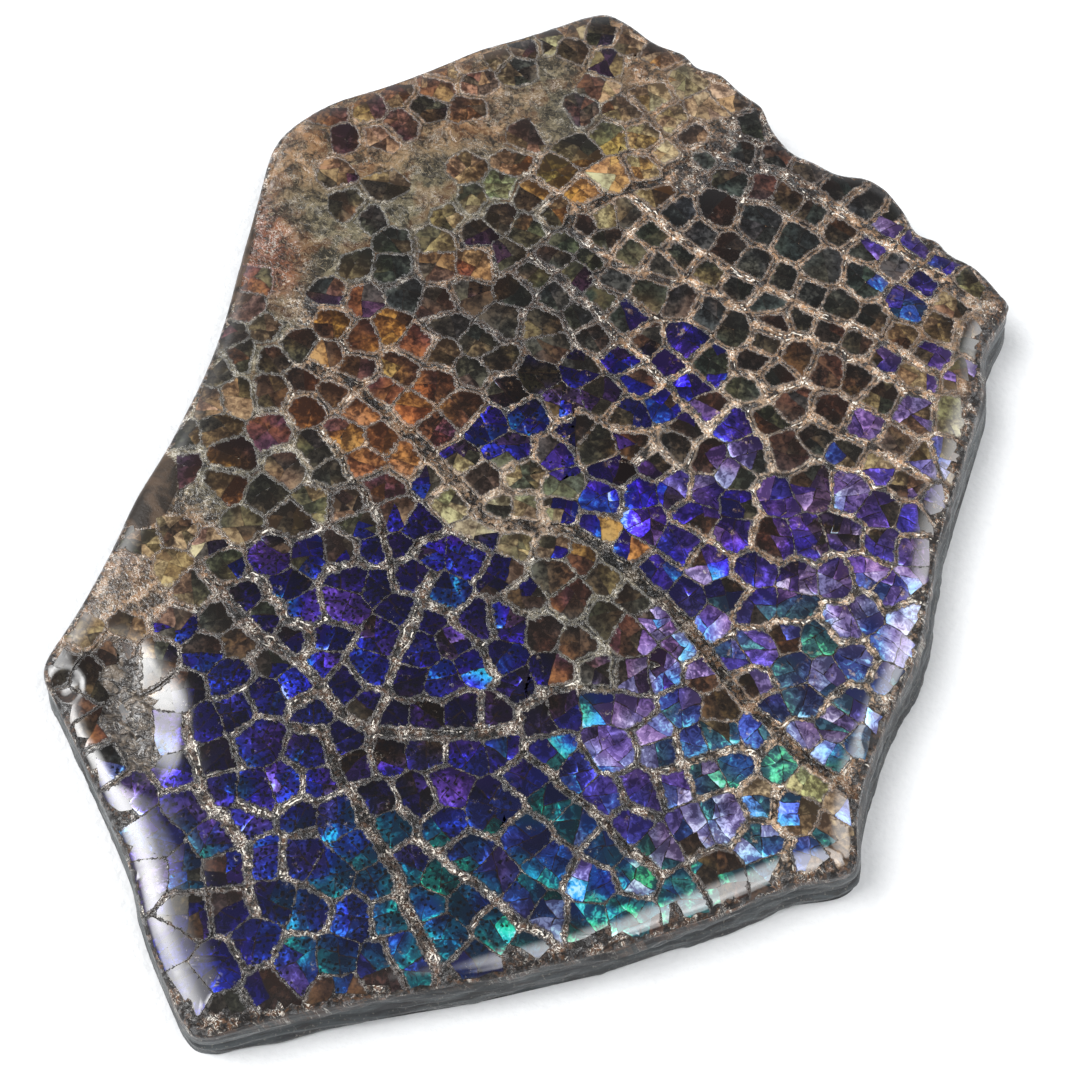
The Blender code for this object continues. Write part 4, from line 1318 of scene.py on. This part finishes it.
def polished_nacre(name):
    """Ammolite nacre: thin aragonite layers under a hand polish. The layers give saturated blue, violet or
    green that comes and goes across a plate. One side of each piece and plate is painted brighter as painted
    light, with painted highlights along the broken edges on that side, a pale painted glint where the flash is
    strongest, and a dark line of painted shade where the cement meets the plate. The polish is a clear gloss."""
    material, shader, put = new_material(
        name, Metallic=0.2, Roughness=0.42, Specular_IOR_Level=0.15, Coat_Weight=1.0, Coat_Roughness=0.05,
        Coat_IOR=1.65,
    )
    place, apart = own_place(put)
    inward, slack, flash_and_painted_light, painted_edge_highlight = (
        put("Attribute", (), "Fac", attribute_name=key) for key in ("inward", "slack", "flash_and_painted_light", "painted_edge_highlight")
    )
    body, flash, tone = (
        put("Attribute", (), "Color", attribute_name=key) for key in ("body", "flash", "tone")
    )
    silk = put("TexNoise", {"Vector": place, "Scale": 0.4, "Detail": 4.0, "Distortion": 1.0}, **FLAT_NOISE)
    shimmer = put("TexNoise", {"Vector": apart, "Scale": 1.5, "Detail": 4.0, "Distortion": 1.2}, **FLAT_NOISE)
    at_edge = put("MapRange", (inward, 0.05, 0.7, 1.0, 0.0))
    # How far the flash shows includes painted light on one side of each piece and plate.
    shown = put("Math", (silk, 1.9, flash_and_painted_light), operation="MULTIPLY_ADD")
    shown = put("Math", (shimmer, 1.3, shown), operation="MULTIPLY_ADD")
    # Painted highlight on the piece's edges that face its lit side.
    shown = put("Math", (painted_edge_highlight, at_edge, shown), operation="MULTIPLY_ADD")
    shown = put("Math", (shown, 1.82), operation="SUBTRACT")
    stain = put("TexNoise", {"Vector": place, "Scale": 0.5, "Detail": 6.0, "Roughness": 0.75}, **FLAT_NOISE)
    cement, relief, _ = mineral(put, place, tone)
    edge, border = edge_masks(put, place, slack, 0.3, 0.1)
    shell = layered(
        put, put("Mix", {0: 1.0, 6: body, 7: (0.25, 0.22, 0.3, 1)}, 2, **TIMES),
        (put("MapRange", (shown, -0.1, 0.3)), body),
        (put("MapRange", (shown, 0.4, 0.9)), flash),
        # Painted highlight: where the flash shows most it is paled halfway to light blue-white, as a glint.
        (put("MapRange", (shown, 0.95, 1.25)), layered(put, flash, (0.5, (0.55, 0.75, 1.0, 1)))),
        (put("MapRange", (stain, 0.6, 0.72, 0.0, 0.6)), cement),
        (pore_mask(put, place), colour("#050408")),
        (edge, cement),
        # Painted shade: a dark line where the cement meets the plate.
        (border, colour("#0e0907")),
        (crack_mask(put, place, inward), colour("#1a100c")),
    )
    relief = put("Math", (relief, put("Math", (edge, 2.2), operation="MULTIPLY")), operation="MULTIPLY")
    bump = put("Bump", {"Strength": 0.6, "Distance": 0.00012, "Height": relief})
    plug(shader, Base_Color=shell, Normal=bump, Coat_Normal=bump)
    return material


def stained_shell(name):
    """Shell stained by iron and organic matter under the same polish: glassy amber, russet, olive or slate,
    clouded inside and grown together with the cement at its edges, with a clear gloss as of water. One side of
    each piece and plate is painted brighter as painted light, and a dark line of painted shade runs where the
    cement meets the plate."""
    material, shader, put = new_material(
        name, Roughness=0.45, Specular_IOR_Level=0.15, Coat_Weight=1.0, Coat_Roughness=0.06, Coat_IOR=1.6,
    )
    place, apart = own_place(put)
    inward, slack, flash_and_painted_light = (
        put("Attribute", (), "Fac", attribute_name=key) for key in ("inward", "slack", "flash_and_painted_light")
    )
    body, flash, tone = (
        put("Attribute", (), "Color", attribute_name=key) for key in ("body", "flash", "tone")
    )
    cloud = put("TexNoise", {"Vector": apart, "Scale": 0.5, "Detail": 5.0, "Roughness": 0.6}, **FLAT_NOISE)
    speck = put("TexNoise", {"Vector": place, "Scale": 1.8, "Detail": 4.0, "Distortion": 0.5}, **FLAT_NOISE)
    # How far the flash shows includes painted light on one side of each piece and plate.
    shown = put("Math", (cloud, 2.0, flash_and_painted_light), operation="MULTIPLY_ADD")
    shown = put("Math", (speck, 1.3, shown), operation="MULTIPLY_ADD")
    shown = put("Math", (shown, 1.72), operation="SUBTRACT")
    shallow = put("Math", (speck, 0.8, slack), operation="MULTIPLY_ADD")
    cement, height, _ = mineral(put, place, tone)
    edge, border = edge_masks(put, place, slack, 0.4, 0.2)
    shell = layered(
        put, put("Mix", {0: 1.0, 6: body, 7: (0.3, 0.27, 0.25, 1)}, 2, **TIMES),
        (put("MapRange", (shown, 0.0, 0.4)), body),
        (put("MapRange", (shown, 0.4, 0.95)), flash),
        (put("MapRange", (shallow, 0.35, 0.85, 0.5, 0.0)), tone),
        (put("Math", (edge, 0.85), operation="MULTIPLY"), layered(put, cement, (0.4, tone))),
        # Painted shade: a dark line where the cement meets the plate, at six tenths.
        (put("Math", (border, 0.6), operation="MULTIPLY"), colour("#120d0a")),
        (put("Math", (crack_mask(put, place, inward), 0.5), operation="MULTIPLY"), colour("#1c140f")),
    )
    relief = put("Math", (height, put("Math", (edge, 1.6), operation="MULTIPLY")), operation="MULTIPLY")
    bump = put("Bump", {"Strength": 0.6, "Distance": 0.00012, "Height": relief})
    plug(shader, Base_Color=shell, Normal=bump, Coat_Normal=bump)
    return material


def clouded_mud(put, tone, drift, fine, iron, crust):
    """The crushed shell that is one mass with its cement: murk and haze that drift into each other, iron
    stains, and pale and dark threads."""
    mixed = put("Math", (drift, 1.8, fine), operation="MULTIPLY_ADD")
    haze = put("Mix", {0: 1.0, 6: tone, 7: (1.6, 1.55, 1.35, 1)}, 2, **TIMES)
    return layered(
        put, put("Mix", {0: 1.0, 6: tone, 7: (0.16, 0.16, 0.14, 1)}, 2, **TIMES),
        (put("MapRange", (mixed, 1.3, 1.85)), haze),
        (put("MapRange", (iron, 0.54, 0.64, 0.0, 0.35)), colour("#6e431f")),
        (ridges(put, fine, 0.02, 0.5), colour("#a39478")),
        (ridges(put, drift, 0.018, 0.8), colour("#17120e")),
        (0.25, crust),
    )


def calcite_veins():
    """Calcite and iron-stained mud that cements the plates: a fine breccia of tan, brown and cream grains with
    near-white lines painted on their crystal edges as glints. Painted shade darkens the sunken seams and the
    mineral right beside the plates, and pale dashes painted a little off the plates stand for glints. It is
    cloudy under the polish where the shell is crushed, glassy over the pit, and gives way to bare shale where
    no plate is left."""
    material, shader, put = new_material(
        "calcite veins and crust", Specular_IOR_Level=0.2, Roughness=0.5, Coat_Roughness=0.08, Coat_IOR=1.6,
    )
    place = in_millimetres(put)
    tone = put("Attribute", (), "Color", attribute_name="tone")
    seam, rim, bare_share, sunken, pit, cloudy, slack = (
        put("Attribute", (), "Fac", attribute_name=key)
        for key in ("seam", "rim", "bare", "sunken", "pit", "cloudy", "slack")
    )
    crust, height, clear = mineral(put, place, layered(put, tone, (rim, colour("#46301f"))))
    drift = put("TexNoise", {"Vector": place, "Scale": 0.28, "Detail": 5.0, "Distortion": 0.8}, **FLAT_NOISE)
    fine = put("TexNoise", {"Vector": place, "Scale": 1.0, "Detail": 4.0, "Distortion": 1.2}, **FLAT_NOISE)
    iron = put("TexNoise", {"Vector": place, "Scale": 0.2, "Detail": 3.0}, **FLAT_NOISE)

    within = put("Math", (cloudy, put("MapRange", (seam, 0.0, 0.5, 1.0, 0.2))), operation="MULTIPLY")
    within = put("MapRange", (within, 0.08, 0.4))
    within = put("Math", (within, put("MapRange", (rim, 0.2, 0.8, 1.0, 0.0))), operation="MULTIPLY")
    bedded = put("MapRange", (within, 0.0, 0.5, 1.0, 0.0))
    # Painted shade: the mineral right beside the plates is darkened to near black, broken up by noise, as the
    # crevice at a plate's edge would be shaded.
    gap = put("Math", (put("MapRange", (slack, -0.3, 0.05, 0.0, 0.9)), bedded), operation="MULTIPLY")
    gap = put("Math", (gap, put("MapRange", (fine, 0.42, 0.56, 1.0, 0.1))), operation="MULTIPLY")
    # Painted highlights: short near-white dashes a little way off each plate's edge stand for glints along the
    # vein.
    beside = put("Math", (put("Math", (slack, 0.14),),), operation="ABSOLUTE")
    line = put("Math", (put("MapRange", (beside, 0.03, 0.09, 0.9, 0.0)), bedded), operation="MULTIPLY")
    line = put("Math", (line, put("MapRange", (drift, 0.5, 0.58))), operation="MULTIPLY")
    line = put("Math", (line, put("MapRange", (fine, 0.5, 0.56))), operation="MULTIPLY")
    crust = layered(
        put, crust,
        (within, clouded_mud(put, tone, drift, fine, iron, crust)),
        (gap, colour("#0d0806")),
        (line, colour("#e6dfd2")),
    )
    # Painted shade: the mineral is darkened where the main seams sink below the plates.
    seam_shade = put("Mix", {0: 1.0, 6: crust, 7: (0.3, 0.26, 0.22, 1)}, 2, **TIMES)
    crust = layered(put, crust, (put("MapRange", (sunken, 0.2, 0.8, 0.0, 0.8)), seam_shade))
    bubbles = put("Math", (drift, fine), operation="ADD")
    glaze = layered(
        put, colour("#1f1813"),
        (put("MapRange", (bubbles, 0.85, 1.15)), colour("#6b5f52")),
        (put("MapRange", (clear, 0.4, 1.0, 0.0, 0.5)), crust),
        (ridges(put, drift, 0.03, 0.95), colour("#120d0a")),
    )
    glazed = put("MapRange", (put("Math", (drift, 1.0, pit), operation="MULTIPLY_ADD"), 0.7, 1.1))
    shale = layered(put, colour("#1f1812"), (put("MapRange", (drift, 0.4, 0.6)), colour("#433529")))
    crust = layered(put, crust, (glazed, glaze), (bare_share, shale))

    calm = put("Math", (within, bare_share), operation="MAXIMUM")
    relief = put("Math", (height, put("MapRange", (calm, 0.0, 1.0, 1.0, 0.12))), operation="MULTIPLY")
    relief = put("Math", (relief, put("MapRange", (sunken, 0.2, 0.8, 1.0, 2.2))), operation="MULTIPLY")
    swells = put("Math", (drift, 2.5, fine), operation="MULTIPLY_ADD")
    swells = put("Math", (swells, 1.3), operation="MULTIPLY")
    relief = put("Mix", {0: glazed, 2: relief, 3: swells}, data_type="FLOAT")
    bump = put("Bump", {"Strength": 0.8, "Distance": 0.0003, "Height": relief})
    calm = put("Math", (within, glazed), operation="MAXIMUM")
    gloss = put("Mix", {0: calm, 2: put("MapRange", (clear, 0.0, 1.0, 0.25, 1.0)), 3: 1.0}, data_type="FLOAT")
    gloss = put("Mix", {0: bare_share, 2: gloss, 3: 0.1}, data_type="FLOAT")
    plug(shader, Base_Color=crust, Normal=bump, Coat_Normal=bump, Coat_Weight=gloss)
    return material


def layered_shale():
    """Dark marine shale: fine beds of grey and brown along the wall, with a damp sheen where it was ground,
    brown crust under the rim, and a duller sawn underside. The crust's flat noise is read on a slant, as it
    would otherwise run straight down the wall."""
    material, shader, put = new_material("layered shale", Coat_Weight=0.6, Coat_Roughness=0.22)
    place = in_millimetres(put)
    beds = put("Mapping", {"Vector": place, "Scale": (0.12, 0.12, 2.2)})
    streak = put("TexNoise", {"Vector": beds, "Scale": 1.0, "Detail": 5.0, "Distortion": 0.6})
    thin_beds = put("Mapping", {"Vector": place, "Scale": (0.5, 0.5, 5.0)})
    fine = put("TexNoise", {"Vector": thin_beds, "Scale": 1.0, "Detail": 4.0})
    grit = put("TexNoise", {"Vector": place, "Scale": 3.0, "Detail": 4.0})
    broad = put("TexNoise", {"Vector": place, "Scale": 0.15, "Detail": 7.0, "Distortion": 0.4})
    up = put("SeparateXYZ", (place,), "Z")
    upper = put("Math", (streak, 2.0, up), operation="MULTIPLY_ADD")
    slant = put("CombineXYZ", (up, up))
    slanted = put("VectorMath", {0: slant, 1: (0.9, -0.7, 0.0), 2: place}, operation="MULTIPLY_ADD")
    brown, _, _ = mineral(put, slanted, colour("#4a3323"))
    stone = layered(
        put, colour("#121317"),
        (put("MapRange", (streak, 0.38, 0.62)), colour("#3e4446")),
        (put("MapRange", (fine, 0.52, 0.7, 0.0, 0.6)), colour("#231912")),
        (put("MapRange", (grit, 0.6, 0.72, 0.0, 0.6)), colour("#7f7a70")),
        (put("MapRange", (upper, 6.0, 7.6, 0.0, 0.75)), brown),
        (
            put("Attribute", (), "Fac", attribute_name="under"),
            layered(put, colour("#2b2825"), (broad, colour("#4f4a42"))),
        ),
    )
    relief = put("Math", (grit, 0.6, fine), operation="MULTIPLY_ADD")
    bump = put("Bump", {"Strength": 0.7, "Distance": 0.00025, "Height": relief})
    plug(shader, Base_Color=stone, Roughness=put("MapRange", (fine, 0.3, 0.7, 0.4, 0.7)), Normal=bump)
    return material


def pale_board():
    """Matt pale card with a fine pebbled grain."""
    material, shader, put = new_material("matt pale board", Roughness=0.7)
    pebble = put("TexNoise", {"Vector": in_millimetres(put), "Scale": 1.1, "Detail": 2.0})
    card = layered(put, (0.62, 0.63, 0.64, 1), (pebble, (0.69, 0.695, 0.70, 1)))
    bump = put("Bump", {"Strength": 0.5, "Distance": 0.0003, "Height": pebble})
    plug(shader, Base_Color=card, Normal=bump)
    return material


def floor():
    bpy.ops.mesh.primitive_plane_add(size=6.0, location=(0, 0, -0.00005))
    board = bpy.context.object
    board.name = "board"
    board.data.materials.append(pale_board())


def camera():
    """The photo's view: from in front of the near side, high up, with a small roll."""
    height, roll = math.radians(PHOTO_HEIGHT_ANGLE), math.radians(PHOTO_ROLL)
    back = np.array([0.0, -math.cos(height), math.sin(height)])
    level_right = np.array([1.0, 0.0, 0.0])
    level_up = np.cross(back, level_right)
    right = level_right * math.cos(roll) + level_up * math.sin(roll)
    up = level_up * math.cos(roll) - level_right * math.sin(roll)
    data = bpy.data.cameras.new("camera")
    data.angle = math.radians(PHOTO_FIELD)
    data.clip_start = 0.005
    obj = bpy.data.objects.new("camera", data)
    matrix = np.eye(4)
    matrix[:3, :3] = np.column_stack([right, up, back])
    matrix[:3, 3] = CAMERA_PLACE
    obj.matrix_world = Matrix(matrix)
    bpy.context.scene.collection.objects.link(obj)
    bpy.context.scene.camera = obj


def room_light():
    """A pale room: bright all round up to half height and dim overhead, which keeps the level polish dark,
    with soft windows that the rounded shoulders mirror: three at the left, one at the far right, and two high
    up at the near right."""
    world = bpy.data.worlds.new("pale room")
    bpy.context.scene.world = world
    world.use_nodes = True
    put = partial(shader_node, world.node_tree)
    way = put("TexCoord", (), "Generated")
    overhead = put("MapRange", (put("SeparateXYZ", (way,), "Z"), 0.5, 0.85), interpolation_type="SMOOTHSTEP")
    sky = put("Mix", {0: overhead, 6: (0.62, 0.64, 0.67, 1), 7: (0.05, 0.05, 0.055, 1)}, 2, data_type="RGBA")
    for turn, rise, whole, faded, radiance in WINDOWS:
        turn, rise = math.radians(turn), math.radians(rise)
        middle = (math.cos(turn) * math.cos(rise), math.sin(turn) * math.cos(rise), math.sin(rise))
        toward = put("VectorMath", (way, middle), "Value", operation="DOT_PRODUCT")
        edges = (math.cos(math.radians(faded)), math.cos(math.radians(whole)))
        glow = put("MapRange", (toward, *edges, 0.0, radiance), interpolation_type="SMOOTHSTEP")
        sky = put("VectorMath", (sky, glow), operation="ADD")
    world.node_tree.links.new(sky, world.node_tree.nodes["Background"].inputs["Color"])


camera()
floor()
room_light()
seeds = plate_seeds(RIM)
seeds = seeds[~bare(seeds)]
clusters = cluster_of(seeds)
plates = Plates(seeds, clusters, *plate_sides(seeds, clusters))
pieces = shell_pieces({
    "blue_nacre": (("electric", "cobalt", "indigo", "midnight"), polished_nacre("polished blue nacre")),
    "violet_nacre": (("violet", "plum", "lilac", "pearl"), polished_nacre("polished violet nacre")),
    "green_nacre": (("azure", "teal", "green"), polished_nacre("polished green nacre")),
    "dark_shell": (("slate", "umber"), stained_shell("dark polished shell")),
    "warm_shell": (("russet", "amber", "honey", "olive", "bone"), stained_shell("warm polished shell")),
}, plates)
pieces += [vein_crust(calcite_veins(), plates), shale_body(layered_shale())]
for piece in pieces:
    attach(piece, "root")
    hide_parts("ammolite_slab")
bpy.context.scene.view_settings.view_transform = "Standard"
